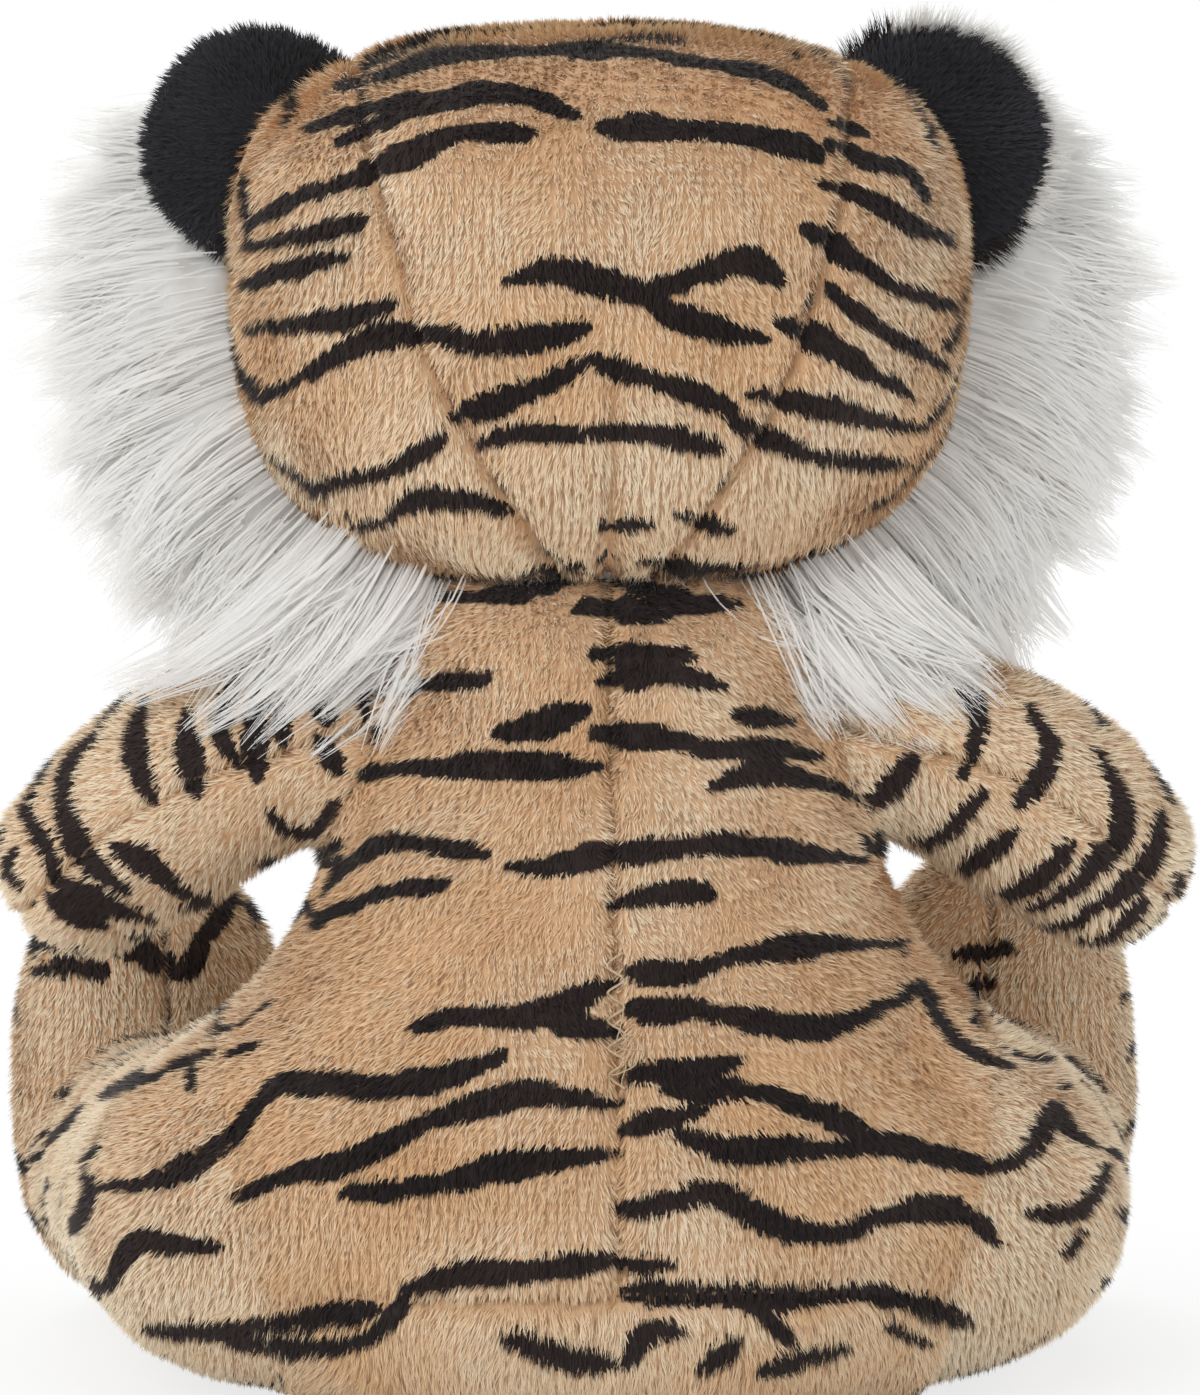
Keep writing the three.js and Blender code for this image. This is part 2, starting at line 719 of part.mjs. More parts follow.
function headPieces() {
  const cavity = headForm(plush.thickness, around.filling, rings.filling);
  const recess = headRecess();
  const holes = eyePlaces.reduce((sum, spot) => sum.add(onEyeLine(eyeHole(), spot, 0)), neckSeat);
  const shell = headForm().subtract(cavity).subtract(recess).subtract(holes);
  const half = plush.seamGap / 2;
  const faceLine = headCentre.y - head.faceSeam;
  const inFront = (line) => box(new THREE.Vector3(-far, -far, -far), new THREE.Vector3(far, line, far));
  const behind = shell.subtract(inFront(faceLine + half));
  const sideOnly = behind.subtract(gussetPrism(half));
  const leftHalf = box(new THREE.Vector3(0, -far, -far), new THREE.Vector3(far, far, far));
  const filling = headForm(plush.thickness + plush.layerGap, around.filling, rings.filling);
  const rooms = eyePlaces.reduce((sum, spot) => sum.add(onEyeLine(washerRoom(), spot, 0)), neckSeat);
  const pieces = {
    face_panel: largest(shell.intersect(inFront(faceLine - half))),
    head_gusset: largest(behind.intersect(gussetPrism(-half))),
    head_side_left: largest(sideOnly.intersect(leftHalf)),
    head_side_right: largest(sideOnly.subtract(leftHalf)),
    head_filling: largest(filling.subtract(recess).subtract(rooms)),
  };
  for (const spot of eyePlaces) {
    pieces[`eye_${spot.name}`] = onEyeLine(eyeSolid(), spot, eyeSeatDepth);
    pieces[`eye_washer_${spot.name}`] = onEyeLine(washerSolid(), spot, -washerDepth);
  }
  return pieces;
}

// Ears

// How far the head's outline lies from its centre in this direction, at the ears' own depth
function headReach(degrees, forward) {
  const across = Math.cos(radians(degrees));
  const upward = Math.sin(radians(degrees));
  const tall = (reach) => Math.abs((upward * reach) / head.above);
  const level = (reach) => (1 - tall(reach) ** head.hardnessUp) ** (1 / head.hardnessUp);
  const room = (1 - (forward / head.halfDepth) ** head.hardnessRound) ** (1 / head.hardnessRound);
  let low = 0;
  let high = head.above / upward;
  for (let n = 0; n < halvings; n++) {
    const middle = (low + high) / 2;
    if (across * middle < head.halfWidth * room * level(middle)) low = middle;
    else high = middle;
  }
  return low;
}

// An ear's own frame: along its seam, outwards from the head, and towards the face
function earFrame() {
  const pointing = (degrees) =>
    new THREE.Vector3(Math.cos(radians(degrees)), 0, Math.sin(radians(degrees)));
  const out = pointing(ear.tiltAngle);
  const face = new THREE.Vector3(0, -1, 0);
  const along = new THREE.Vector3().crossVectors(out, face).normalize();
  const reach = headReach(ear.placeAngle, ear.forward) - ear.sink;
  const root = headCentre
    .clone()
    .addScaledVector(face, ear.forward)
    .addScaledVector(pointing(ear.placeAngle), reach);
  return { out, face, along, root };
}

function earPlies() {
  const { out, face, along, root } = earFrame();
  const half = { x: ear.halfWidth, y: ear.halfThickness, above: ear.height, below: ear.height };
  const turn = new THREE.Matrix4().makeBasis(along, face.clone().multiplyScalar(-1), out);
  const place = new THREE.Matrix4().makeTranslation(root.x, root.y, root.z).multiply(turn);
  const whole = ball(half, 2, ear.hardness, around.ear, rings.ear).transform(place.elements);
  const angles = [-ear.foldAngle, 0, ear.foldAngle];
  const seated = clearOfSwing(whole, headForm(-plush.seatGap), root, along, angles);
  const kept = largest(seated);
  const middle = root.y;
  const gap = plush.seamGap / 2;
  const backHalf = box(new THREE.Vector3(-far, middle + gap, -far), new THREE.Vector3(far, far, far));
  const frontHalf = box(new THREE.Vector3(-far, -far, -far), new THREE.Vector3(far, middle - gap, far));
  return { back: largest(kept.intersect(backHalf)), front: largest(kept.intersect(frontHalf)) };
}

// Arms

const armAhead = new THREE.Vector3(
  Math.cos(radians(arm.droopAngle)) * Math.cos(radians(arm.forwardAngle)),
  -Math.cos(radians(arm.droopAngle)) * Math.sin(radians(arm.forwardAngle)),
  -Math.sin(radians(arm.droopAngle)),
);
const armAxis = new THREE.Vector3().crossVectors(armAhead, upwards).normalize();
const armStations = armThicknessShare.map((thickness, n) => {
  const share = n / (armThicknessShare.length - 1);
  const end = share < 1 / 2 ? arm.rootRadius : arm.pawHalfThickness;
  const half = end + (arm.halfThickness - end) * thickness;
  const place = shoulderCentre.clone().addScaledVector(armAhead, arm.length * share);
  const bow = arm.bow * Math.sin(Math.PI * share);
  return { x: place.x, y: place.y, z: place.z + bow, halfSide: half, halfUp: half };
});

const armEnds = { start: 1, end: arm.tipShare };
const openEnds = { start: arm.openShare, end: arm.tipShare };

function armPieces() {
  const fixed = torsoRoom.subtract(roundBall(arm.rootRadius, shoulderCentre, around.filling));
  const whole = largest(limb(armStations, armEnds).subtract(fixed));
  const skin = whole.subtract(limb(armStations, openEnds, plush.thickness));
  return {
    upper: largest(skin.intersect(aboveMiddle(armStations, plush.seamGap / 2))),
    lower: largest(skin.subtract(aboveMiddle(armStations, -plush.seamGap / 2))),
    filling: largest(whole.intersect(limb(armStations, armEnds, plush.thickness + plush.layerGap))),
  };
}

// Legs and feet

const legAngle = radians(leg.closestAngle);
const legAhead = new THREE.Vector3(Math.sin(legAngle), -Math.cos(legAngle), 0);
const legStations = fine
  .filter((_, n) => n % 4 === 0)
  .map((share) => {
    const halfSide = leg.hipRadius + (leg.ankleHalfWidth - leg.hipRadius) * share;
    const halfUp = leg.hipRadius + (leg.ankleHalfHeight - leg.hipRadius) * share;
    const place = hipCentre.clone().addScaledVector(legAhead, leg.length * share);
    return { x: place.x, y: place.y, z: halfUp + leg.lift, halfSide, halfUp };
  });
const footCentre = hipCentre
  .clone()
  .addScaledVector(legAhead, leg.length + foot.halfDepth - foot.overlap)
  .setZ(foot.halfHeight - foot.floorCut);
const legEnds = { start: 1, end: leg.endShare };

function footForm(inset = 0, count = around.limb, levels = rings.filling) {
  const tall = foot.halfHeight - inset;
  const half = { x: foot.halfWidth - inset, y: foot.halfDepth - inset, above: tall, below: tall };
  const upright = ball(half, foot.hardness, foot.hardness, count, levels);
  return upright.rotate([0, 0, leg.closestAngle]).translate(footCentre.toArray());
}

// A slab in the foot's own frame, from one corner to the other
function footSlab(low, high) {
  return box(low, high).rotate([0, 0, leg.closestAngle]).translate([footCentre.x, footCentre.y, 0]);
}

function footPieces() {
  const outer = footForm().intersect(above(0));
  const inner = footForm(plush.thickness, around.small, rings.small).intersect(above(plush.thickness));
  const room = plush.thickness + plush.layerGap;
  const filling = footForm(room, around.small, rings.small).intersect(above(room));
  const skin = outer.subtract(inner);
  const half = plush.seamGap / 2;
  const soleLine = foot.soleDepth - foot.halfDepth;
  const upTo = (line) => footSlab(new THREE.Vector3(-far, -far, -far), new THREE.Vector3(far, line, far));
  const outerSide = (line) =>
    footSlab(new THREE.Vector3(line, -far, -far), new THREE.Vector3(far, far, far));
  const upper = skin.subtract(upTo(soleLine + half));
  return {
    sole: largest(skin.intersect(upTo(soleLine - half))),
    outer: largest(upper.intersect(outerSide(half))),
    inner: largest(upper.subtract(outerSide(-half))),
    filling: largest(filling),
  };
}

function legPieces() {
  const fixed = torsoRoom.subtract(roundBall(leg.hipRadius, hipCentre, around.filling));
  const taken = fixed.add(footForm(-plush.seatGap));
  const whole = largest(limb(legStations, legEnds).subtract(taken));
  const open = hipCentre.x - leg.hipRadius * leg.openShare;
  const opening = box(new THREE.Vector3(-far, -far, -far), new THREE.Vector3(open, far, far));
  const skin = whole.subtract(limb(legStations, legEnds, plush.thickness)).subtract(opening);
  return {
    cover: largest(skin),
    filling: largest(whole.intersect(limb(legStations, legEnds, plush.thickness + plush.layerGap))),
  };
}

// Ruff: a crescent of long pile, cut by the head, the ear and the arm that it lies against
const ruffCentre = headCentre.clone().add(new THREE.Vector3(0, -ruff.forward, -ruff.centreDrop));
const ruffStations = ruffReachShare.map((reach, n) => {
  const share = n / (ruffReachShare.length - 1);
  const angle = radians(ruff.topAngle + (ruff.lowAngle - ruff.topAngle) * share);
  const place = ruffCentre.clone();
  place.x += ruff.middleRadius * Math.cos(angle);
  place.z += ruff.middleRadius * Math.sin(angle);
  return {
    x: place.x,
    y: place.y,
    z: place.z,
    halfSide: ruff.halfReach * reach,
    halfUp: ruff.halfThickness,
  };
});

function ruffSolid(neighbours) {
  const backwards = new THREE.Vector3(0, 1, 0);
  const ends = { start: ruff.endShare, end: ruff.endShare };
  const crescent = limb(ruffStations, ends, 0, around.small, rings.filling, backwards);
  return largest(neighbours.reduce((kept, piece) => kept.subtract(piece), crescent));
}

// Assembly

const toy = new THREE.Group();
toy.name = "plush_tiger";

const cloth = (colour) => new THREE.MeshStandardMaterial({ color: colour, roughness: 0.95, metalness: 0 });
const gloss = (colour) => new THREE.MeshStandardMaterial({ color: colour, roughness: 0.15, metalness: 0 });

function group(name) {
  const made = new THREE.Group();
  made.name = name;
  toy.add(made);
  return made;
}

function addPiece(parent, name, solid, material) {
  const mesh = new THREE.Mesh(geometryOf(solid), material);
  mesh.name = name;
  parent.add(mesh);
}

const tanCloth = cloth(colours.tan);
const creamCloth = cloth(colours.cream);
const whiteCloth = cloth(colours.white);
const blackCloth = cloth(colours.black);
const fibre = cloth(colours.fibre);

const torsoGroup = group("torso_group");
for (const [name, solid] of Object.entries(torsoPanels())) {
  addPiece(torsoGroup, name, solid, name === "belly_panel" ? creamCloth : tanCloth);
}
addPiece(torsoGroup, "torso_filling", torsoFilling(), fibre);
addPiece(torsoGroup, "pellet_bag", pelletBagSolid(), cloth(colours.pelletCloth));
addPiece(torsoGroup, "closing_thread", closingThread(), cloth(colours.thread));

addPiece(group("neck_group"), "neck_filling", neckBall, fibre);

const headGroup = group("head_group");
const headMaterials = {
  head_filling: fibre,
  eye_left: gloss(colours.eyeBrown),
  eye_right: gloss(colours.eyeBrown),
  eye_washer_left: gloss(colours.washerWhite),
  eye_washer_right: gloss(colours.washerWhite),
};
for (const [name, solid] of Object.entries(headPieces())) {
  addPiece(headGroup, name, solid, headMaterials[name] ?? tanCloth);
}
const muzzleSolid = muzzleForm();
addPiece(headGroup, "muzzle", muzzleSolid, whiteCloth);
addPiece(headGroup, "nose", noseForm(muzzleSolid), cloth(colours.noseBrown));
addPiece(headGroup, "mouth_thread", mouthThread(), cloth(colours.darkThread));

const armParts = armPieces();
const legParts = legPieces();
const footParts = footPieces();
const earParts = earPlies();
const earRoom = earParts.back.add(earParts.front);
const ruffPiece = ruffSolid([
  headForm(-plush.seatGap - flatness(head.halfWidth, around.filling), around.filling, rings.filling),
  torsoRoom,
  limb(armStations, armEnds, -plush.swingGap),
  earRoom.add(earRoom.translate([0, 0, -plush.swingGap])),
]);

function addPair(parent, name, solid, material) {
  addPiece(parent, name, parent.userData.sign > 0 ? solid : mirror(solid), material);
}

// Each leg lies further out than where it would touch the torso, turned about its own hip
function turnLeg(legGroup, sign, degrees) {
  legGroup.position.set(sign * hipCentre.x, hipCentre.y, 0);
  legGroup.rotation.z = sign * radians(degrees);
  for (const mesh of legGroup.children) mesh.position.set(-sign * hipCentre.x, -hipCentre.y, 0);
}

for (const [name, sign] of Object.entries(sides)) {
  const sideGroup = (part) => {
    const made = group(`${part}_${name}_group`);
    made.userData.sign = sign;
    return made;
  };
  const earGroup = sideGroup("ear");
  addPair(earGroup, `ear_${name}_back`, earParts.back, blackCloth);
  addPair(earGroup, `ear_${name}_front`, earParts.front, whiteCloth);
  addPair(sideGroup("ruff"), `ruff_${name}`, ruffPiece, whiteCloth);
  const armGroup = sideGroup("arm");
  addPair(armGroup, `arm_${name}_upper`, armParts.upper, tanCloth);
  addPair(armGroup, `arm_${name}_lower`, armParts.lower, tanCloth);
  addPair(armGroup, `arm_${name}_filling`, armParts.filling, fibre);
  const legGroup = sideGroup("leg");
  addPair(legGroup, `leg_${name}_cover`, legParts.cover, tanCloth);
  addPair(legGroup, `leg_${name}_filling`, legParts.filling, fibre);
  addPair(legGroup, `foot_${name}_outer`, footParts.outer, tanCloth);
  addPair(legGroup, `foot_${name}_inner`, footParts.inner, tanCloth);
  addPair(legGroup, `foot_${name}_sole`, footParts.sole, creamCloth);
  addPair(legGroup, `foot_${name}_filling`, footParts.filling, fibre);
  turnLeg(legGroup, sign, sign > 0 ? leg.leftOutAngle : leg.rightOutAngle);
}

export default toy;
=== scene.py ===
import math

import bpy
import numpy as np
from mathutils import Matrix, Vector


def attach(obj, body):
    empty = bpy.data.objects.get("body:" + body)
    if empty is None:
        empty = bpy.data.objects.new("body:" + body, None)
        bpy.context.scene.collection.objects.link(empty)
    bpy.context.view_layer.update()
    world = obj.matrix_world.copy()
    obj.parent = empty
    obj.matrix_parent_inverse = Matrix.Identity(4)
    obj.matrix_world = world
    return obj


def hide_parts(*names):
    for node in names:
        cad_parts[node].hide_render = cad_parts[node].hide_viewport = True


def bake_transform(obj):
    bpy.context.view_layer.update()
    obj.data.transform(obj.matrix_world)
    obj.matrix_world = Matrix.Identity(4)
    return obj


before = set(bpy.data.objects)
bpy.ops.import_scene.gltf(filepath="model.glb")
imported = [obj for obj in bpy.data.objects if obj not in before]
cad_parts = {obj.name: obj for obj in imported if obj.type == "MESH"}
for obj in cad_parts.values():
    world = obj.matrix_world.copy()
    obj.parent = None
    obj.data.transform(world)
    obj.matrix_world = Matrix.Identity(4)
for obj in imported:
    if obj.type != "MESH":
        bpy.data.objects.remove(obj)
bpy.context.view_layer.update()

# Camera. It stands behind the toy, a little to the toy's own left and a little above its middle.
# Its long lens keeps the toy's sides nearly square to the picture. All sizes here are in millimetres.
mm = 0.001
camera_aim = np.array([0.0, 0.0, 125.0])
camera_distance = 1100.0
camera_rise, camera_aside = math.radians(6), math.radians(3)
photo_height, photo_scale = 1395, 0.18  # in pixels, and millimetres to the pixel
picture_height = photo_height * photo_scale
aim_below_middle = 0.45
sensor_width = 36.0
to_camera = np.array([
    math.sin(camera_aside) * math.cos(camera_rise),
    math.cos(camera_aside) * math.cos(camera_rise),
    math.sin(camera_rise),
])
picture_right = np.cross([0, 0, 1], to_camera)
picture_right /= np.linalg.norm(picture_right)
picture_up = np.cross(to_camera, picture_right)


def placed(name, data):
    """A new object of the scene that shows this data."""
    made = bpy.data.objects.new(name, data)
    bpy.context.scene.collection.objects.link(made)
    return made


camera = placed("camera", bpy.data.cameras.new("camera"))
camera.location = Vector((camera_aim + to_camera * camera_distance + picture_up * aim_below_middle) * mm)
camera.rotation_euler = Vector(to_camera).to_track_quat("Z", "Y").to_euler()
camera.data.sensor_width = sensor_width
camera.data.lens = sensor_width * camera_distance / picture_height
camera.data.clip_start, camera.data.clip_end = 0.05, 20
bpy.context.scene.camera = camera
bpy.context.scene.view_settings.view_transform = "Standard"


# Shader sums are written as Python expressions on this one small class.
class Dye:
    """One socket of a material's nodes. + - * / and ** on it add Math nodes, and node() adds any other node: its
    kind, what its sockets take, which of its outputs is wanted, and its settings."""

    def __init__(self, tree, socket=None):
        self.tree, self.socket = tree, socket

    def node(self, kind, sockets, out=0, **settings):
        made = self.tree.nodes.new(f"ShaderNode{kind}")
        for key, value in settings.items():
            setattr(made, key, value)
        for key, value in sockets.items():
            if isinstance(value, Dye):
                self.tree.links.new(value.socket, made.inputs[key])
            else:
                made.inputs[key].default_value = value
        return Dye(self.tree, made.outputs[out] if made.outputs else None)

    def math(self, operation, *values):
        return self.node("Math", dict(enumerate(values)), operation=operation)

    def clamped(self):
        return self.node("Math", {0: self, 1: 0.0}, operation="ADD", use_clamp=True)

    def __add__(self, other):
        return self.math("ADD", self, other)

    def __sub__(self, other):
        return self.math("SUBTRACT", self, other)

    def __rsub__(self, other):
        return self.math("SUBTRACT", other, self)

    def __mul__(self, other):
        return self.math("MULTIPLY", self, other)

    def __truediv__(self, other):
        return self.math("DIVIDE", self, other)

    def __pow__(self, other):
        return self.math("POWER", self, other)

    __radd__, __rmul__ = __add__, __mul__

    def between(self, first, second):
        """The colour that lies this far from the first to the second."""
        colours = {6: first, 7: second}
        ends = {key: c if isinstance(c, Dye) else (*c, 1) for key, c in colours.items()}
        return self.node("Mix", {0: self.clamped(), **ends}, 2, data_type="RGBA")

    def split(self):
        """A vector's three values."""
        return [self.node("SeparateXYZ", {0: self}, axis) for axis in range(3)]

    def spot(self):
        """The place on the object."""
        return self.node("TexCoord", {}, "Object")

    def noise(self, scale, detail, **more):
        """Soft noise in space, of this many waves to the metre."""
        return self.node("TexNoise", {"Vector": self.spot(), "Scale": scale, "Detail": detail, **more})

    def bump(self, height, strength, distance):
        return self.node("Bump", {"Strength": strength, "Distance": distance, "Height": height})


def srgb(red, green, blue):
    """A screen colour of 0 to 255 as the linear one that a shader takes."""
    return tuple(((c / 255 + 0.055) / 1.055) ** 2.4 if c > 10 else c / 255 / 12.92 for c in (red, green, blue))


def new_material(name):
    """An empty material, and its nodes' tree as a Dye."""
    material = bpy.data.materials.new(name)
    material.use_nodes = True
    material.node_tree.nodes.clear()
    return material, Dye(material.node_tree)


def finish_surface(dye, let_through=0.0, **sockets):
    """Puts a Principled surface with these sockets on the material's output. Of the light on its strands, the
    given share is let through in the surface's colour."""
    shader = dye.node("BsdfPrincipled", {key.replace("_", " "): value for key, value in sockets.items()})
    if let_through:
        passed = dye.node("BsdfTranslucent", {"Color": sockets["Base_Color"]})
        shader = dye.node("MixShader", {0: let_through, 1: shader, 2: passed})
    dye.node("OutputMaterial", {"Surface": shader})


# Stage. A pale floor under soft light: a broad key lamp from the upper left, a weaker one from the
# right, and an even white room. Their sum on a surface that faces the camera shows its colour as written.
room_light = 0.62
lamps = [
    ("key", (800, 1060, 900), 700, 9.0),
    ("fill", (-900, 800, 450), 900, 2.1),
    ("front", (250, -1300, 800), 900, 9.0),
]
for name, place, size, power in lamps:
    lamp = placed(name, bpy.data.lights.new(name, "AREA"))
    lamp.location = Vector(place) * mm
    lamp.rotation_euler = (Vector(place) - Vector(camera_aim)).to_track_quat("Z", "Y").to_euler()
    lamp.data.shape, lamp.data.size, lamp.data.energy = "SQUARE", size * mm, power

world = bpy.context.scene.world or bpy.data.worlds.new("room")
bpy.context.scene.world = world
world.use_nodes = True
world.node_tree.nodes.clear()
air = Dye(world.node_tree)


def seen_directly(dye):
    """1 where the camera looks straight at a surface, or sees it in gloss or through glass."""
    camera_ray, glossy, through = (
        dye.node("LightPath", {}, f"Is {kind} Ray") for kind in ("Camera", "Glossy", "Transmission"))
    return dye.math("MAXIMUM", dye.math("MAXIMUM", camera_ray, glossy), through)


strength = room_light + (1 - room_light) * seen_directly(air)
pure_white = (1, 1, 1, 1)
sky = air.node("Background", {"Color": pure_white, "Strength": strength})
air.node("OutputWorld", {"Surface": sky})

# The floor shows the toy's shade near it, and fades to white from the first of these distances to the second.
floor_size, floor_fade, floor_least, floor_grey = 6000.0, (90.0, 200.0), 0.78, 0.96
floor_mesh = bpy.data.meshes.new("floor")
corners = [(x * floor_size * mm, y * floor_size * mm, 0) for x, y in ((-1, -1), (1, -1), (1, 1), (-1, 1))]
floor_mesh.from_pydata(corners, [], [(0, 1, 2, 3)])
material, dye = new_material("pale_floor")
distance = dye.node("VectorMath", {0: dye.spot()}, "Value", operation="LENGTH")
faded = ((distance / mm - floor_fade[0]) / (floor_fade[1] - floor_fade[0])).clamped()
faded = faded * (1 - floor_least) + floor_least
matt = dye.node("BsdfDiffuse", {"Color": (floor_grey, floor_grey, floor_grey, 1)})
white = dye.node("Emission", {"Color": pure_white, "Strength": 1.0})
surface = dye.node("MixShader", {0: (faded * seen_directly(dye)).clamped(), 1: matt, 2: white})
dye.node("OutputMaterial", {"Surface": surface})
floor_mesh.materials.append(material)
placed("floor", floor_mesh)

# Torso. A pear on a flat seat, sewn from two back panels, a cream belly panel and a base panel.
# Their pile lies outside the seams; fibre and a bag of pellets fill it, so every panel swells.
torso_height, torso_half_width, torso_half_depth = 152.0, 70.0, 55.0
torso_hardness, torso_lean = 2.25, 7.0
torso_height_share = [0, 0.02, 0.09, 0.22, 0.36, 0.48, 0.6, 0.72, 0.82, 0.9, 0.955, 0.985, 1]
torso_width_share = [0.56, 0.7, 0.87, 0.97, 0.98, 0.88, 0.755, 0.655, 0.58, 0.54, 0.48, 0.39, 0.22]
torso_depth_share = [0.6, 0.73, 0.9, 1, 0.99, 0.91, 0.8, 0.7, 0.61, 0.55, 0.46, 0.36, 0.2]
torso_lean_share = [1, 1, 1, 1, 0.95, 0.85, 0.7, 0.55, 0.4, 0.25, 0.15, 0.1, 0.1]
base_seam_height, base_seam_rise = 20.0, math.tan(math.radians(7))
belly_low, belly_high, belly_top = 38.0, 25.0, 130.0
pile_depth = 1.7  # how far the backing cloth lies under the tips of the pile
cloth_depth = 1.0  # of the backing cloth itself
own_light = 0.4  # the share of a strand's own facing in how it is lit; the rest is the cloth's
seam_depth, seam_width = 1.9, 1.6
whole_circle, quarter = 2 * np.pi, np.pi / 2
up, down, backwards, forwards = np.eye(3)[2], -np.eye(3)[2], np.eye(3)[1], -np.eye(3)[1]


def spline(values, share):
    """A curve through evenly spaced values: on each stretch the cubic whose slope at both ends is that of the
    chord across the neighbours."""
    values = np.asarray(values, float)
    last = len(values) - 1
    place = np.clip(share, 0, 1) * last
    at = np.minimum(place.astype(int), last - 1)
    t = (place - at).reshape(np.shape(place) + (1,) * (values.ndim - 1))
    p0, p1, p2, p3 = (values[np.clip(at + k, 0, last)] for k in (-1, 0, 1, 2))
    v0, v1 = (p2 - p0) / 2, (p3 - p1) / 2
    return ((2 * (p1 - p2) + v0 + v1) * t + 3 * (p2 - p1) - 2 * v0 - v1) * t * t + v0 * t + p1


def bend(value, hardness):
    """The value's own sign on its size to the power of 2 over the hardness, which squares a circle's corners."""
    return np.sign(value) * np.abs(value) ** (2 / hardness)


def unit(vectors):
    """The vectors made one long."""
    return vectors / np.maximum(np.linalg.norm(vectors, axis=-1, keepdims=True), 1e-9)


def turned(first, second, angle):
    """The way that lies this angle from the first to the second, which is square to it."""
    return first * np.cos(angle) + second * np.sin(angle)


steps = np.linspace(0, 1, 500)
torso_heights = torso_height * spline(torso_height_share, steps)
torso_shares = [spline(table, steps) for table in (torso_width_share, torso_depth_share, torso_lean_share)]


def torso_section(height):
    """The torso's half width, half depth and lean at a height."""
    full = (torso_half_width, torso_half_depth, torso_lean)
    return [size * np.interp(height, torso_heights, share) for size, share in zip(full, torso_shares)]


def torso_skin(angle, height):
    """The point of the torso's squared oval at this angle round it and this height, less the pile."""
    width, depth, lean = torso_section(height)
    across = (width - pile_depth) * bend(np.cos(angle), torso_hardness)
    back = lean + (depth - pile_depth) * bend(np.sin(angle), torso_hardness)
    return np.stack([across, back, height + 0 * angle], -1)


def torso_room(p):
    """How far points stand outside the torso: along the level line from its middle, or past its ends."""
    width, depth, lean = torso_section(p[..., 2])
    x, y = np.abs(p[..., 0]), np.abs(p[..., 1] - lean)
    size = ((x / width) ** torso_hardness + (y / depth) ** torso_hardness) ** (1 / torso_hardness)
    level = np.hypot(x, y) * (1 - 1 / np.maximum(size, 1e-3))
    return np.maximum(level, np.maximum(p[..., 2] - torso_height, -p[..., 2]))


def facings(points, triangles):
    """Each triangle's normal, twice as long as its area."""
    a, b, c = (points[triangles[:, k]] for k in range(3))
    return np.cross(b - a, c - a)


def normals_of(points, triangles):
    """Each point's normal: the sum of the normals of the triangles round it, made one long."""
    face = facings(points, triangles)
    total = np.zeros_like(points)
    for k in range(3):
        for axis in range(3):
            total[:, axis] += np.bincount(triangles[:, k], face[:, axis], len(points))
    return unit(total)


def met(grid):
    """The different points of a grid, which of its points is the first at each, and each point's number there."""
    return np.unique(np.round(grid.reshape(-1, 3), 4), axis=0, return_index=True, return_inverse=True)


def stitched(grid, inside):
    """A grid of points as a sheet of triangles: points that meet are one, triangles with no width are left out,
    and all face away from the inside point. Each corner keeps its place on the grid as its place on the cloth."""
    rows, columns = grid.shape[:2]
    points, _, weld = met(grid)
    weld = weld.reshape(rows, columns)
    v, u = np.meshgrid(np.linspace(0.01, 0.99, rows), np.linspace(0.01, 0.99, columns), indexing="ij")
    spots = np.stack([u, v], -1)
    near, far = slice(0, -1), slice(1, None)
    squares = [(near, near), (near, far), (far, far), (far, near)]
    halves = [[squares[k] for k in three] for three in ((0, 1, 2), (0, 2, 3))]
    triangles = np.concatenate([np.stack([weld[s].ravel() for s in half], 1) for half in halves])
    places = np.concatenate([np.stack([spots[s].reshape(-1, 2) for s in half], 1) for half in halves])
    a, b, c = triangles.T
    kept = (a != b) & (b != c) & (c != a)
    triangles, places = triangles[kept], places[kept]
    outward = normals_of(points, triangles) * (points - inside)
    if outward.sum() < 0:
        triangles, places = triangles[:, ::-1], places[:, ::-1]
    return points, triangles, places


gather_depth, gather_turns, gather_reach = 0.35, 0.9, 7
narrow_panel = 16  # in a panel that is narrower than this the ditches are shallower


def seam_valley(grid, edges):
    """How deep each grid point is drawn in towards the seams on these edges of its grid: a smooth ditch, and
    along it the small gathers that each stitch pulls."""
    lines = {"low": grid[:1], "high": grid[-1:], "left": grid[:, :1], "right": grid[:, -1:]}
    depth = np.zeros(grid.shape[:2])
    across = np.linalg.norm(grid[:, -1] - grid[:, 0], axis=-1)
    narrow = np.clip(across / narrow_panel, 0.2, 1)[:, None] if len(edges) > 1 else 1.0
    for edge in edges:
        away = np.linalg.norm(grid - lines[edge], axis=-1)
        ditch = seam_depth * np.exp(-((away / seam_width) ** 2))
        gather = gather_depth * np.sin(grid.sum(-1) * gather_turns) * np.exp(-away / gather_reach)
        depth = np.maximum(depth, ditch + np.maximum(gather, -ditch))
    return depth * narrow


swelling_steps = 20
cloth_settings = {"quality": 4, "mass": 0.2, "tension_stiffness": 12, "compression_stiffness": 12,
                  "bending_stiffness": 2.0, "vertex_group_mass": "held", "use_pressure": True,
                  "uniform_pressure_force": 4.0}


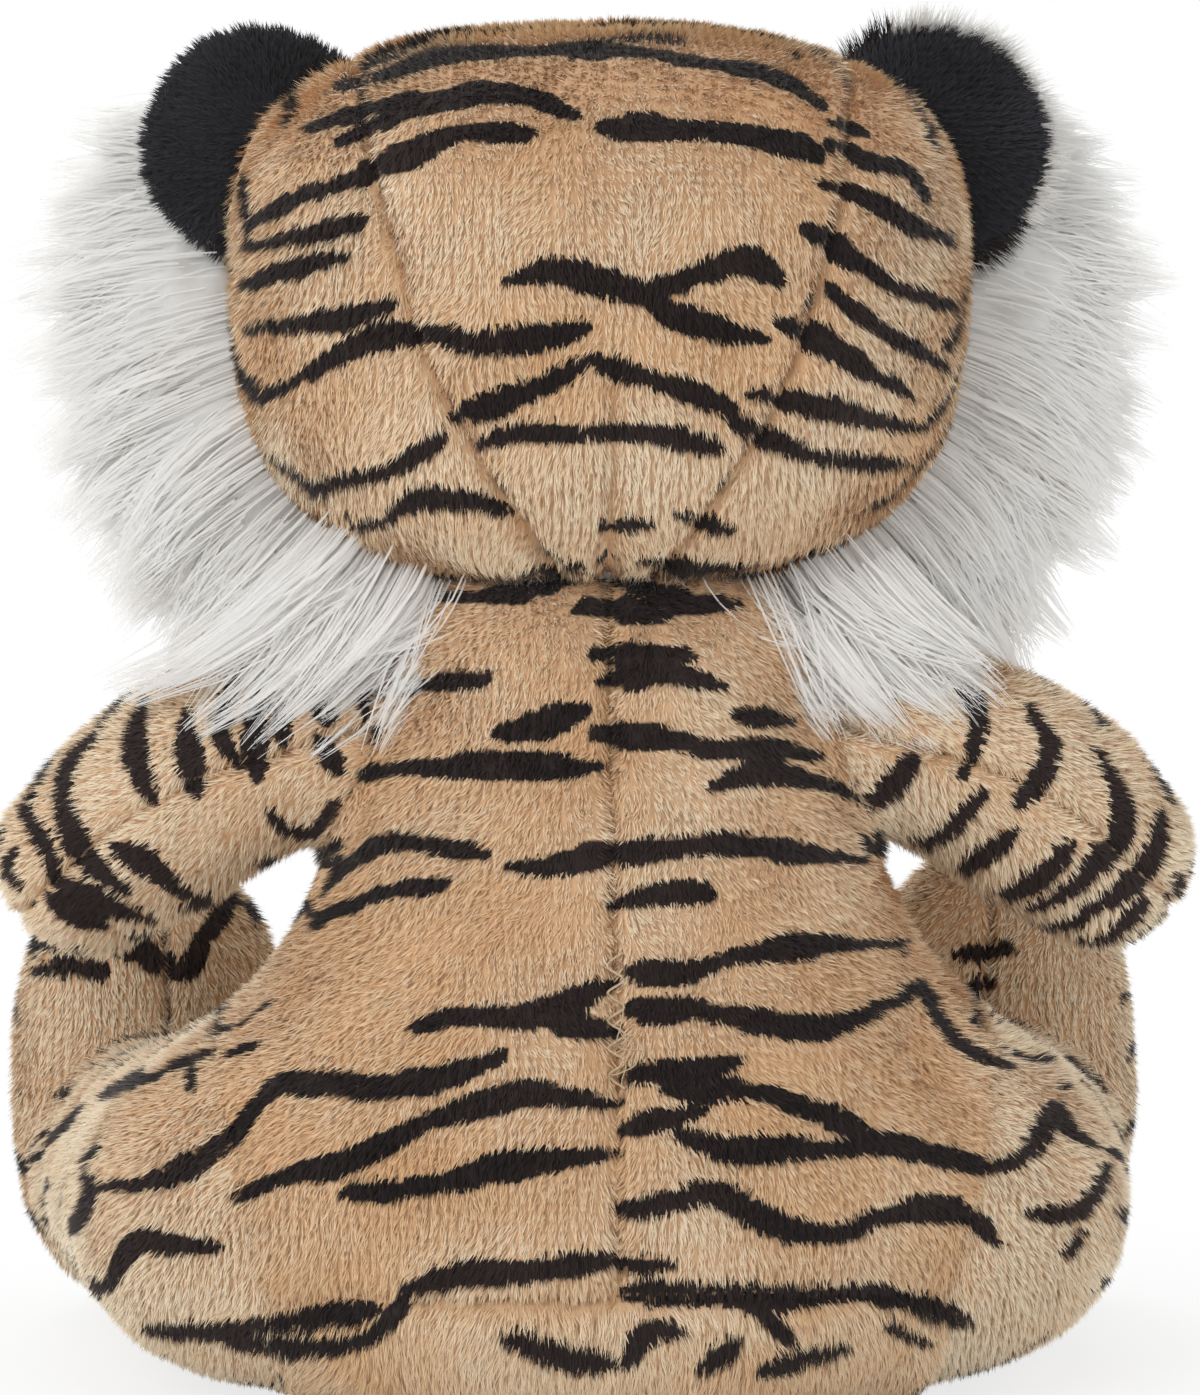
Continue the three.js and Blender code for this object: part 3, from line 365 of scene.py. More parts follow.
def swelled(points, triangles, held, cap):
    """The sheet after a short cloth simulation in which the filling presses it outwards while the held points
    stay, with no point moved further than the cap."""
    mesh = bpy.data.meshes.new("swelling")
    mesh.from_pydata((points * mm).tolist(), [], triangles.tolist())
    body = placed("swelling", mesh)
    body.vertex_groups.new(name="held").add(np.flatnonzero(held).tolist(), 1.0, "REPLACE")
    cloth = body.modifiers.new("cloth", "CLOTH")
    for key, value in cloth_settings.items():
        setattr(cloth.settings, key, value)
    cloth.settings.effector_weights.gravity = 0
    cloth.collision_settings.use_collision = False
    cloth.point_cache.frame_start, cloth.point_cache.frame_end = 1, swelling_steps
    for number in range(1, swelling_steps + 1):
        bpy.context.scene.frame_set(number)
    ready = body.evaluated_get(bpy.context.evaluated_depsgraph_get())
    moved = np.empty(len(points) * 3)
    ready.data.vertices.foreach_get("co", moved)
    bpy.data.objects.remove(body)
    bpy.data.meshes.remove(mesh)
    bpy.context.scene.frame_set(1)
    move = moved.reshape(-1, 3) / mm - points
    far = np.linalg.norm(move, axis=1, keepdims=True)
    return points + move * np.minimum(1, cap / np.maximum(far, 1e-9))


wave_count, wave_sum = 6, 1.6


def ripple(p, size, seed):
    """A smooth random value in space: the mean of a few sine waves of about this size, in random directions."""
    draw = np.random.default_rng(seed)
    ways = unit(draw.normal(size=(wave_count, 3))) * (whole_circle / size) * draw.uniform(0.7, 1.4, (wave_count, 1))
    return np.sin(p @ ways.T + draw.uniform(0, whole_circle, wave_count)).mean(1) * wave_sum


scatter_ways, scatter_seed, scatter_size = np.array([12.9898, 78.233, 37.719]), 4.137, 43758.5453


def speckle(cells, seed):
    """A random value from 0 to 1 for each whole-numbered cell of space: what follows the point in a large sine."""
    value = np.sin(cells @ scatter_ways + seed * scatter_seed) * scatter_size
    return value - np.floor(value)


def on_picture(p):
    """Where points show from the camera: millimetres to the left of and above the toy's foot."""
    away = p - camera_aim
    scale = camera_distance / (camera_distance - away @ to_camera)
    return np.stack([-(away @ picture_right) * scale, camera_aim[2] + (away @ picture_up) * scale], -1)


stripe_half_width, stripe_end, stripe_softness, stripe_margin = 2.5, 7.0, 0.5, 1.5
stripe_shake, stripe_shake_size = 0.4, 9  # the drawn lines' small wander on the cloth
band_half_width, band_pitch, level_thinner = 2.0, 13.0, 2.4


def soft_edge(inside):
    """1 inside a stripe and 0 outside, given how far inside its edge a place lies."""
    return np.clip(inside / stripe_softness + 0.5, 0, 1)


def wild_ink(p, way, seed, pitch=band_pitch, less=0.0):
    """1 inside stripes that lie across a way, 0 outside: bands at an even pitch along it, bent by slow waves, whose
    width rises and falls and ends them here and there. Where less is above 0 they are narrower by that much."""
    phase = (p @ way + 4.5 * ripple(p, 40, seed) + 1.2 * ripple(p, 14, seed + 1)) / pitch
    away = np.abs(phase - np.floor(phase) - 0.5) * pitch
    width = band_half_width * np.clip(0.75 + 1.1 * ripple(p, 30, seed + 2), -1, 1) - less
    return soft_edge(width - away)


def dyed(p, n, lines, way, seed, crown=None):
    """The stripes of a piece: those drawn from the picture where its cloth faces the camera's side, and bands
    across the given way where the picture doesn't show it. Cloth that faces along that way takes bands across
    the crown's way instead, so that none of them spreads into a patch."""
    facing = np.clip((n @ to_camera - 0.3) / 0.12, 0, 1)
    if crown is None:
        wild = wild_ink(p, way, seed)
    else:
        level = np.clip((np.abs(n @ way) - 0.72) / 0.16, 0, 1)
        wild = np.maximum(wild_ink(p, way, seed, less=level_thinner * level),
                          wild_ink(p, crown, seed + 7, less=level_thinner * (1 - level)))
    return np.maximum(stripe_ink(p, n, lines) * (facing > 0.1), wild * (facing < 0.9))


def run_along(path):
    """Each point's distance from the first, along the path."""
    return np.concatenate([[0], np.cumsum(np.linalg.norm(path[1:] - path[:-1], axis=1))])


def stripe_ink(p, n, lines):
    """1 inside the drawn stripes, 0 outside: each is a smooth line on the picture's plane, tapered to its ends
    and kept to its width where the cloth turns away."""
    flat = on_picture(p)
    flat = flat + stripe_shake * np.stack([ripple(p, stripe_shake_size, seed) for seed in (3, 4)], -1)
    slant = 1 / np.clip(np.abs(n @ to_camera), 0.5, 1)
    ink, reach = np.zeros(len(p)), stripe_half_width + stripe_margin
    for line in lines:
        line = np.array(line, float)
        fine = spline(line, np.linspace(0, 1, 5 * len(line)))
        low, high = fine.min(0) - reach, fine.max(0) + reach
        near = np.flatnonzero(((flat > low) & (flat < high)).all(1))
        if not len(near):
            continue
        a, b = fine[:-1], fine[1:]
        along = run_along(fine)
        step = (b - a)[None]
        share = ((flat[near, None] - a) * step).sum(-1) / np.maximum((step ** 2).sum(-1), 1e-9)
        share = np.clip(share, 0, 1)
        away = np.linalg.norm(flat[near, None] - a - step * share[..., None], axis=-1) * slant[near, None]
        best = away.argmin(1)
        rows = np.arange(len(near))
        spot = along[best] + share[rows, best] * (along[best + 1] - along[best])
        ends = np.clip(np.minimum(spot, along[-1] - spot) / stripe_end, 0, 1)
        width = stripe_half_width * (0.45 + 0.55 * np.sqrt(ends)) * (1 + 0.18 * np.sin(0.21 * spot + line[0, 0]))
        ink[near] = np.maximum(ink[near], soft_edge(width - away[rows, best]))
    return ink


def nowhere(p, n=None):
    return np.zeros(len(p))


def everywhere(p, n=None):
    return np.ones(len(p))


def rooted(sheet, per_mm2, draw, weight):
    """Random roots spread evenly over a sheet: each in a triangle drawn by its area, with its normal, its place
    on the cloth, and how deep in a seam it lies."""
    points, triangles, places, ditch = sheet
    face = facings(points, triangles)
    area = np.linalg.norm(face, axis=1) / 2
    if weight is not None:
        area = area * weight(points[triangles].sum(1) / 3, unit(face))
    count = int(area.sum() * per_mm2)
    chosen = draw.choice(len(area), count, p=area / area.sum())
    shares = draw.uniform(0, 1, (count, 2))
    folded = shares.sum(1) > 1
    shares[folded] = 1 - shares[folded]
    parts = np.concatenate([1 - shares.sum(1, keepdims=True), shares], 1)[..., None]
    normals = normals_of(points, triangles)
    corners_of = triangles[chosen]
    return ((points[corners_of] * parts).sum(1), unit((normals[corners_of] * parts).sum(1)),
            (places[chosen] * parts).sum(1), (ditch[corners_of] * parts[..., 0]).sum(1))


root_depth = 0.4  # of a strand's foot under the cloth's surface
seen_at = 0.65  # how far up a strand its dye is read
held_down = 0.45  # the share of a strand's length that a seam takes
tuft_turn, strand_turn = np.radians(20), np.radians(9)


def tufted(roots, normals, ditch, comb, coat, draw, seed):
    """Short pile: each strand leaves its root along the comb's way, raised from the cloth, and leans with its
    neighbours to the middle of their tuft. It is one pointed triangle, and is shorter in a seam, where the
    stitches hold it down."""
    way = comb(roots, normals)
    way = unit(way - normals * (way * normals).sum(1, keepdims=True))
    across = np.cross(normals, way)
    cells = np.floor(roots / coat["tuft"])
    tuft = speckle(cells, seed)
    swirl = np.radians(coat["swirl"]) * ripple(roots, coat["swirl_size"], seed + 1)
    swirl = swirl + tuft_turn * (tuft - 0.5) + strand_turn * draw.normal(size=len(roots))
    way = turned(way, across, swirl[:, None])
    lift = 1 + 0.25 * ripple(roots, 23, seed + 2) + 0.22 * draw.normal(size=len(roots))
    line = turned(way, normals, np.clip(np.radians(coat["raised"]) * lift, 0.12, 1.4)[:, None])
    centre = (cells + 0.5 + 0.6 * (np.stack([speckle(cells, seed + k) for k in (5, 6, 7)], 1) - 0.5)) * coat["tuft"]
    pull = centre - roots
    pull = pull - normals * (pull * normals).sum(1, keepdims=True)
    long = coat["length"] * draw.uniform(0.7, 1.12, len(roots)) * (1 + 0.12 * ripple(roots, 15, seed + 8))
    long = (long * (1 - held_down * ditch ** 3))[:, None]
    tip = roots + line * long + pull * coat["gather"]
    start = roots - normals * root_depth
    ahead = unit(tip - start)
    side = unit(np.cross(normals, ahead))
    roll = draw.uniform(-0.75, 0.75, len(roots))[:, None]
    side = turned(side, np.cross(side, ahead), roll)
    facing = np.cross(side, ahead)
    side = side * np.where((facing * normals).sum(1, keepdims=True) < 0, -1, 1)
    lit = unit(np.cross(side, ahead) * own_light + normals * (1 - own_light))
    half = side * coat["width"] / 2 * draw.uniform(0.75, 1.2, (len(roots), 1))
    points = np.stack([start - half, start + half, tip], 1)
    shade = 0.5 + 0.32 * (tuft - 0.5) + 0.13 * draw.normal(size=len(roots)) + 0.25 * ripple(roots, 31, seed + 9)
    return points, roots * (1 - seen_at) + tip * seen_at, shade, lit


def mesh_piece(name, points, triangles, places, material, lit=None):
    """An object at the origin from arrays of points, triangles and the corners' places on the cloth, and of the
    points' normals where strands are lit as the coat that they form."""
    mesh = bpy.data.meshes.new(name)
    mesh.vertices.add(len(points))
    mesh.vertices.foreach_set("co", (points * mm).astype(np.float32).ravel())
    mesh.loops.add(3 * len(triangles))
    mesh.loops.foreach_set("vertex_index", triangles.astype(np.int32).ravel())
    mesh.polygons.add(len(triangles))
    mesh.polygons.foreach_set("loop_start", np.arange(0, 3 * len(triangles), 3, dtype=np.int32))
    mesh.update(calc_edges=True)
    mesh.polygons.foreach_set("use_smooth", np.ones(len(triangles), bool))
    mesh.uv_layers.new(name="OFBake").data.foreach_set("uv", places.astype(np.float32).ravel())
    if lit is not None:
        carry(mesh, "custom_normal", lit)
    mesh.materials.append(material)
    return placed(name, mesh)


def carry(mesh, name, values):
    """Stores a value or a vector for each of the mesh's points."""
    kind, key = ("FLOAT", "value") if values.ndim == 1 else ("FLOAT_VECTOR", "vector")
    mesh.attributes.new(name, kind, "POINT").data.foreach_set(key, values.astype(np.float32).ravel())


def declare(made, body, nodes, slot):
    """Hangs the piece from the empty of the body that it rides on; a piece given two bodies and a start and an end
    only has its place baked into its mesh. Hides the nodes that it replaces. The slot is not used."""
    if isinstance(body, str):
        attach(made, body)
    else:
        first, second, start, end = body
        tuple(np.array(start) * mm)
        tuple(np.array(end) * mm)
        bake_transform(made)
    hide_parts(*nodes)


tan_coat = {"length": 2.8, "width": 0.4, "raised": 35, "tuft": 1.7, "gather": 0.6, "swirl": 26, "swirl_size": 22,
            "per_mm2": 5.0}


ink_and_sheen_range = 0.55, 2.0  # of the stripes' dye, from its darkest to its lightest strands; the lighter strands are painted sheen
pale_root_shade, pale_shadow = 0.86, 0.94  # of the pale pile, against its tips: the painted shade at its root, and its darkest strands


def scaled(colour, share):
    return tuple(share * c for c in colour)


def plush_material(name, light, dark, root, ink_colour, pale_colour, sheen=0.25, roughness=0.82, let_through=0.0):
    """Dyed pile: darker at the root than at the tip, as painted shade where the strands shade each other; lighter
    and darker strand by strand, with the dyed stripes and the painted seam shadow over it, and a fine grain across
    the strands."""
    material, dye = new_material(name)
    stripe, along, shade = dye.node("Attribute", {}, "Vector", attribute_name="pile").split()
    paleness = dye.node("Attribute", {}, "Fac", attribute_name="pale")
    grain, patches = dye.noise(900.0, 2.0), dye.noise(32.0, 3.0)
    mixed = (shade + (patches - 0.5) * 1.5 + (grain - 0.5) * 0.2).clamped()
    tips = paleness.between(mixed.between(dark, light), mixed.between(scaled(pale_colour, pale_shadow), pale_colour))
    # The stripes' strands vary from dark to lighter; the lighter ones are painted sheen. This colour also paints the
    # seam shadow.
    ink_sheen_and_seam_shadow = mixed.between(*(scaled(ink_colour, share) for share in ink_and_sheen_range))
    # The first pile value holds the dyed stripes and also the painted seam shadow.
    edge = (stripe + (grain - 0.5) * 0.3 - 0.35) / 0.3
    # Painted shade: from the tips down, the pile darkens to its roots' colour.
    roots = paleness.between(root, scaled(pale_colour, pale_root_shade))
    root_shade_ramp = ((along + 0.1) ** 0.8).clamped().between(roots, tips)
    finish_surface(dye, let_through, Base_Color=edge.between(root_shade_ramp, ink_sheen_and_seam_shadow),
                   Roughness=(roughness + (grain - 0.5) * 0.2), Normal=dye.bump(grain, 0.25, 0.0003),
                   Sheen_Weight=sheen, Sheen_Roughness=0.5, Specular_IOR_Level=0.25)
    return material


# The third tan is the painted shade at the pile's roots.
tan_light, tan_dark, tan_root_shade = srgb(255, 242, 214), srgb(237, 197, 150), srgb(190, 144, 102)
cream, stripe_dark = srgb(252, 246, 234), srgb(36, 27, 25)
tan_plush = plush_material("striped_plush", tan_light, tan_dark, tan_root_shade, stripe_dark, cream)

strand_on_cloth = np.array([(-1, 0), (1, 0), (0, 3)]) * 0.0016
seam_shadow, deep_darker, deep_lower = 0.6, 0.8, 0.7  # painted shadow in a seam's depth: how much of the stripes' dark dye it paints in, how much it darkens the shade, and how far it lowers the height on the strand toward the painted root shade
ink_spread = 0.12  # how far the dye strays
bare_cloth = 0.12, 0.5  # the height and the shade of the cloth under the pile; the low height gives it nearly the roots' painted shade
torso_tone, limb_tone, head_tone = -0.05, 0.38, 0.08  # their cloth comes from paler and darker stretches of the roll


def plush_piece(node, body, sheet, comb, ink, seed, filling=(), coat=tan_coat, slot="striped_plush",
                material=tan_plush, pale=nowhere, weight=None, closed=False, tone=0.0):
    """One sewn panel in the place of a CAD node and of what fills it: its backing cloth, with a thickness where
    the panel is open, and the pile that grows on it. Its mesh carries the pile's dye with the painted seam shadow in
    it, its height on the strand, which sets the painted root shade, its shade, darkened in seams as painted shadow,
    and how pale it is."""
    points, triangles, places, ditch = sheet
    draw = np.random.default_rng(seed)
    normals = normals_of(points, triangles)
    layers, faces, spots = [points], [triangles], [places]
    if not closed:
        count = len(points)
        layers.append(points - normals * cloth_depth)
        faces.append(triangles[:, ::-1] + count)
        spots.append(places[:, ::-1])
        edges, edge_places = (
            np.concatenate([threes[:, [k, (k + 1) % 3]] for k in range(3)]) for threes in (triangles, places))
        key = edges[:, 0] * count + edges[:, 1]
        rim = ~np.isin(key, edges[:, 1] * count + edges[:, 0])
        a, b = edges[rim].T
        pa, pb = edge_places[rim].swapaxes(0, 1)
        faces += [np.stack([a, a + count, b], 1), np.stack([b, a + count, b + count], 1)]
        spots += [np.stack([pa, pa, pb], 1), np.stack([pb, pa, pb], 1)]
    backing = np.concatenate(layers)
    roots, root_normals, root_places, root_ditch = rooted(sheet, coat["per_mm2"], draw, weight)
    strands, looked, shade, lit = tufted(roots, root_normals, root_ditch, comb, coat, draw, seed)
    # Painted shadow in the seams: deep in a ditch the strands' shade is darker, their height sinks toward the
    # painted root shade, and the stripes' dark dye is painted in.
    deep = root_ditch ** 4
    shade = shade + tone - deep_darker * deep
    count = len(roots)
    strand_dye_and_seam_shadow = ink(looked + draw.normal(size=looked.shape) * ink_spread, root_normals)
    strand_dye_and_seam_shadow = np.maximum(strand_dye_and_seam_shadow, seam_shadow * root_ditch ** 9 * (1 - pale(roots)))
    along = np.tile([0.0, 0.0, 1.0], (count, 1)) * (1 - deep_lower * deep[:, None])
    pile = np.stack([np.repeat(strand_dye_and_seam_shadow[:, None], 3, 1), along, np.repeat(shade[:, None], 3, 1)], -1)
    backing_normals = normals_of(backing, np.concatenate(faces))
    bare = np.tile([0, *bare_cloth], (len(backing), 1))
    bare[:, 0] = ink(backing, backing_normals)
    paleness = np.concatenate([pale(backing), np.repeat(pale(looked), 3)])
    strand_places = np.clip(root_places[:, None] + strand_on_cloth, 0.002, 0.998)
    spots.append(strand_places)
    faces.append(np.arange(3 * count).reshape(-1, 3) + len(backing))
    all_points = np.concatenate([backing, strands.reshape(-1, 3)])
    lit = np.concatenate([backing_normals, np.repeat(lit, 3, 0)])
    made = mesh_piece(f"{node}_plush", all_points, np.concatenate(faces), np.concatenate(spots), material, lit)
    carry(made.data, "pile", np.concatenate([bare, pile.reshape(-1, 3)]))
    carry(made.data, "pale", paleness)
    declare(made, body, [node, *filling], slot)


# Stripes that are dyed into the torso's back, from the neck to the seat: points to the left of and above
# the toy's foot as the camera sees them.
torso_stripes = [
    [(39, 136), (32, 143), (19, 144), (12, 146), (2, 148)], [(1, 148), (-6, 146), (-17, 144)],
    [(5, 141), (1, 142), (-6, 141), (-16, 142), (-26, 143)], [(1, 133), (-8, 133), (-17, 133)],
    [(0, 128), (-11, 130), (-23, 127)], [(40, 126), (30, 128), (20, 129)],
    [(19, 119), (12, 120), (2, 123)], [(-25, 122), (-35, 121)],
    [(1, 119), (-11, 118), (-21, 116), (-31, 116), (-40, 115)],
    [(46, 111), (40, 112), (30, 113), (14, 113), (0, 113)], [(46, 114), (40, 120)],
    [(-20, 109), (-29, 112), (-40, 110), (-47, 107)], [(55, 87), (47, 94), (40, 99), (32, 99), (21, 97)],
    [(51, 97), (47, 99)], [(57, 82), (50, 86), (40, 90), (28, 92)],
    [(16, 95), (9, 95), (-1, 97), (-11, 98), (-21, 99), (-31, 98), (-40, 97), (-50, 96)],
    [(-2, 88), (-11, 90), (-20, 90)], [(-5, 76), (-16, 76), (-26, 79), (-40, 81), (-55, 81)],
    [(34, 66), (25, 68), (12, 68), (4, 71), (-3, 74)], [(12, 68), (-3, 65)],
    [(-5, 69), (-17, 69), (-30, 67), (-40, 66), (-50, 69), (-58, 73), (-62, 67), (-67, 62), (-75, 59)],
    [(54, 56), (43, 55), (33, 56), (25, 58), (17, 61)],
    [(66, 35), (57, 39), (45, 42), (33, 48), (22, 52), (12, 54), (-3, 52)],
    [(-4, 57), (-12, 58), (-25, 60)], [(-12, 55), (-18, 55), (-30, 54), (-41, 50), (-50, 46)],
    [(-4, 47), (-9, 49), (-19, 51)],
    [(-14, 47), (-22, 44), (-32, 44), (-44, 44), (-52, 45), (-70, 41), (-78, 44), (-82, 51), (-86, 47), (-90, 45)],
    [(46, 36), (33, 37), (20, 40), (9, 42), (-3, 43)],
    [(-4, 33), (-12, 34), (-21, 36), (-32, 30), (-44, 29), (-52, 32), (-64, 33), (-72, 27)],
    [(36, 18), (25, 21), (12, 22), (-3, 24)], [(-4, 23), (-13, 23)],
    [(-4, 18), (-15, 18), (-32, 17), (-47, 18), (-58, 16), (-67, 12)], [(-27, 16), (-35, 9)],
    [(-52, 12), (-59, 9)], [(18, 10), (9, 7), (-3, 5)], [(-5, 5), (-9, 11), (-15, 11)],
    [(-18, 4), (-25, 9)], [(-29, 4), (-45, 8)],
]
leg_stripes = [
    [(102, 63), (96, 65), (84, 65), (74, 65), (67, 66)],
    [(104, 55), (96, 54), (92, 54), (86, 57), (77, 60), (70, 62)], [(74, 61), (74, 55)],
    [(68, 61), (62, 63)], [(105, 45), (100, 47)],
    [(104, 42), (98, 43), (94, 40), (92, 37), (94, 32), (98, 31), (102, 32)],
    [(92, 37), (82, 38), (74, 41), (67, 46), (60, 54), (56, 56), (32, 55)],
    [(98, 24), (90, 19), (87, 23), (84, 27), (79, 27), (69, 26)], [(82, 11), (69, 11), (55, 13), (40, 15)],
    [(68, 9), (50, 8), (40, 11), (36, 16), (35, 19)], [(-83, 55), (-90, 56), (-94, 55), (-94, 60)],
    [(-77, 32), (-87, 33), (-92, 41)], [(-84, 25), (-88, 29)],
]
foot_stripes = [
    [(104, 80), (95, 82), (85, 81), (75, 76), (71, 82), (65, 89), (60, 87), (57, 83)],
    [(104, 76), (97, 77), (89, 76)], [(-64, 79), (-74, 80)], [(-64, 72), (-71, 74)],
]


def base_seam(angle):
    """The height of the seam round the base at an angle: the plane that rises towards the back, met in a few
    steps, because the torso's depth changes with the height."""
    height = np.full(np.shape(angle), base_seam_height)
    for _ in range(4):
        height = base_seam_height + base_seam_rise * torso_skin(angle, height)[..., 1]
    return height


def belly_angle(height):
    """The angle round the torso at which the belly panel's edge lies, left of its middle."""
    curve = np.sqrt(np.clip(1 - (height / belly_top) ** 2, 0, 1))
    half = belly_high + (belly_low - belly_high) * curve
    half = half * np.clip((torso_height - height) / (torso_height - belly_top), 0.15, 1)
    width = torso_section(height)[0]
    return -np.arccos(np.clip((half / width) ** (torso_hardness / 2), 0, 0.999))


def torso_wall(first, last, rows, columns, top=150.0):
    """The grid of a panel that runs up the torso between two angles, which may change with the height."""
    v, u = np.meshgrid(np.linspace(0, 1, rows), np.linspace(0, 1, columns), indexing="ij")
    height = base_seam_height + (top - base_seam_height) * v
    for _ in range(3):
        angle = first(height) + (last(height) - first(height)) * u
        low = base_seam(angle)
        height = low + (top - low) * v
    return torso_skin(angle, height)


def swelled_grid(grid, inside, cap):
    """The grid moved as the simulation moves a coarser one: every other row and column, with the move of the
    points between them taken from their neighbours."""
    picked = [np.unique(np.append(np.arange(0, count, 2), count - 1)) for count in grid.shape[:2]]
    coarse = grid[np.ix_(*picked)]
    held = np.zeros(coarse.shape[:2], bool)
    held[0], held[-1], held[:, 0], held[:, -1] = [True] * 4
    points, triangles, _ = stitched(coarse, inside)
    _, first, weld = met(coarse)
    move = (swelled(points, triangles, held.ravel()[first], cap) - points)[weld.ravel()].reshape(coarse.shape)
    rows, columns = (np.arange(count) for count in grid.shape[:2])
    tall = np.array([[np.interp(rows, picked[0], move[:, c, k]) for c in range(len(picked[1]))] for k in range(3)])
    full = [[np.interp(columns, picked[1], tall[k, :, r]) for r in rows] for k in range(3)]
    return grid + np.moveaxis(np.array(full), 0, -1)


def sewn(grid, edges, inside, cap=2.2):
    """A panel's grid as a sheet: swelled by the filling between the seams that hold its edges, and then drawn
    in along them."""
    depth = seam_valley(grid, edges)
    grid = swelled_grid(grid, inside, cap)
    points, triangles, places = stitched(grid, inside)
    normals = normals_of(points, triangles)
    lump = 0.35 * ripple(points, 38, 11) + 0.2 * ripple(points, 17, 12)
    depth = depth.ravel()[met(grid)[1]]
    ditch = np.clip(depth / seam_depth, 0, 1)
    points = points + normals * (lump * (1 - ditch) - depth)[:, None]
    return points, triangles, places, ditch


def joined(sheet, own, others):
    """The sheet with its corner against each other form filled by a smooth fillet: points move out along their
    normals by reach times h squared over 4, where h falls from 1, where both forms are as near, to 0."""
    points, triangles, places, ditch = sheet
    normals = normals_of(points, triangles)
    total = np.zeros(len(points))
    for other, reach in others:
        move = np.zeros(len(points))
        for _ in range(5):
            at = points + normals * move[:, None]
            h = np.clip(1 - np.abs(own(at) - other(at)) / reach, 0, 1)
            move = reach * h * h / 4
        total = np.maximum(total, move)
    return points + normals * total[:, None], triangles, places, ditch


# The legs' and arms' forms come first, because the torso's panels are filled out towards them.
def limb_room(stations, ends):
    """The room function of a limb: how far points stand outside its round sections along a straight line, with a
    round end at both ends."""
    first, last = stations[0], stations[-1]
    run = (last - first)[:3] * ([1, 1, 0] if abs(last[2] - first[2]) < 10 else [1, 1, 1])
    length, ahead = np.linalg.norm(run), unit(run)
    side = unit(np.cross(up, ahead))
    above = np.cross(ahead, side)

    def room(p):
        along = (p - first[:3]) @ ahead
        share = np.clip(along / length, 0, 1)
        here = spline(stations, share)
        away = p - here[..., :3]
        bulge = np.where(along < 0, first[3] * ends[0], last[3] * ends[1])
        past = np.where(along < 0, along, np.maximum(along - length, 0)) / bulge
        size = np.sqrt((away @ side / here[..., 3]) ** 2 + (away @ above / here[..., 4]) ** 2 + past ** 2)
        reach = np.sqrt((away @ side) ** 2 + (away @ above) ** 2 + (past * bulge) ** 2)
        return reach * (1 - 1 / np.maximum(size, 1e-3))

    return room


end_rings = 14


def limb_grid(stations, ends, rows, columns, first=0.0, last=whole_circle, inset=pile_depth, level=up):
    """Oval rings round a line of stations, closed by a round end before the first and past the last, between two
    angles round the limb, from its side over its top."""
    start = stations[0][3] * ends[0] - inset
    end = stations[-1][3] * ends[1] - inset
    bow = np.linspace(quarter, 0, end_rings, endpoint=False)
    share = np.concatenate([np.zeros(end_rings), np.linspace(0, 1, rows), np.ones(end_rings)])
    push = np.concatenate([-start * np.sin(bow), np.zeros(rows), end * np.sin(bow[::-1])])
    shrink = np.concatenate([np.cos(bow), np.ones(rows), np.cos(bow[::-1])])
    step = 0.02
    here = spline(stations, share)
    ahead = unit(spline(stations, share + step)[:, :3] - spline(stations, share - step)[:, :3])
    side = unit(np.cross(level, ahead))
    above = np.cross(ahead, side)
    turn = np.linspace(first, last, columns)
    centre = here[:, :3] + ahead * push[:, None]
    wide, tall = (here[:, 3] - inset) * shrink, (here[:, 4] - inset) * shrink
    return (centre[:, None] + side[:, None] * (wide[:, None] * np.cos(turn))[..., None]
            + above[:, None] * (tall[:, None] * np.sin(turn))[..., None])


sides = {"left": 1, "right": -1}
leg_out = {"left": math.radians(12), "right": math.radians(11)}
hip_height, hip_spread, hip_back = 34.0, 65.0, 5.0
hip_radius, ankle_half_width, ankle_half_height = 31.0, 25.0, 26.0
leg_length, leg_lift, leg_ends = 72.0, 3.0, (1.0, 0.3)
foot_half_width, foot_half_depth, foot_half_height = 28.0, 20.0, 44.5
foot_hardness, foot_overlap, sole_depth = 2.4, 8.0, 7.0
leg_ahead, leg_stations, leg_room, hips = {}, {}, {}, {}
share = np.linspace(0, 1, 4)
for name, sign in sides.items():
    hips[name] = np.array([sign * hip_spread, hip_back, hip_height])
    leg_ahead[name] = np.array([sign * math.sin(leg_out[name]), -math.cos(leg_out[name]), 0.0])
    wide = hip_radius + (ankle_half_width - hip_radius) * share
    tall = hip_radius + (ankle_half_height - hip_radius) * share
    places = hips[name] + leg_ahead[name] * leg_length * share[:, None]
    leg_stations[name] = np.stack([places[:, 0], places[:, 1], tall + leg_lift, wide, tall], 1)
    leg_room[name] = limb_room(leg_stations[name], leg_ends)

shoulder_spread, shoulder_height = 51.76, 118.0
arm_droop, arm_forward, arm_length, arm_bow = math.radians(29), math.radians(14), 49.0, 4.0
shoulder_radius, arm_thickness, paw_thickness, arm_ends = 18.0, 20.5, 18.0, (1.0, 0.85)
arm_thickness_share = np.array([0, 0.6, 1, 1, 0])
arm_ahead, arm_stations, arm_room, shoulders = {}, {}, {}, {}
share = np.linspace(0, 1, 5)
for name, sign in sides.items():
    shoulders[name] = np.array([sign * shoulder_spread, 0.0, shoulder_height])
    level = math.cos(arm_droop)
    arm_ahead[name] = np.array([sign * level * math.cos(arm_forward), -level * math.sin(arm_forward),
                                -math.sin(arm_droop)])
    ends = np.where(share < 0.5, shoulder_radius, paw_thickness)
    half = ends + (arm_thickness - ends) * arm_thickness_share
    places = shoulders[name] + arm_ahead[name] * arm_length * share[:, None]
    places[:, 2] += arm_bow * np.sin(np.pi * share)
    arm_stations[name] = np.concatenate([places, half[:, None], half[:, None]], 1)
    arm_room[name] = limb_room(arm_stations[name], arm_ends)

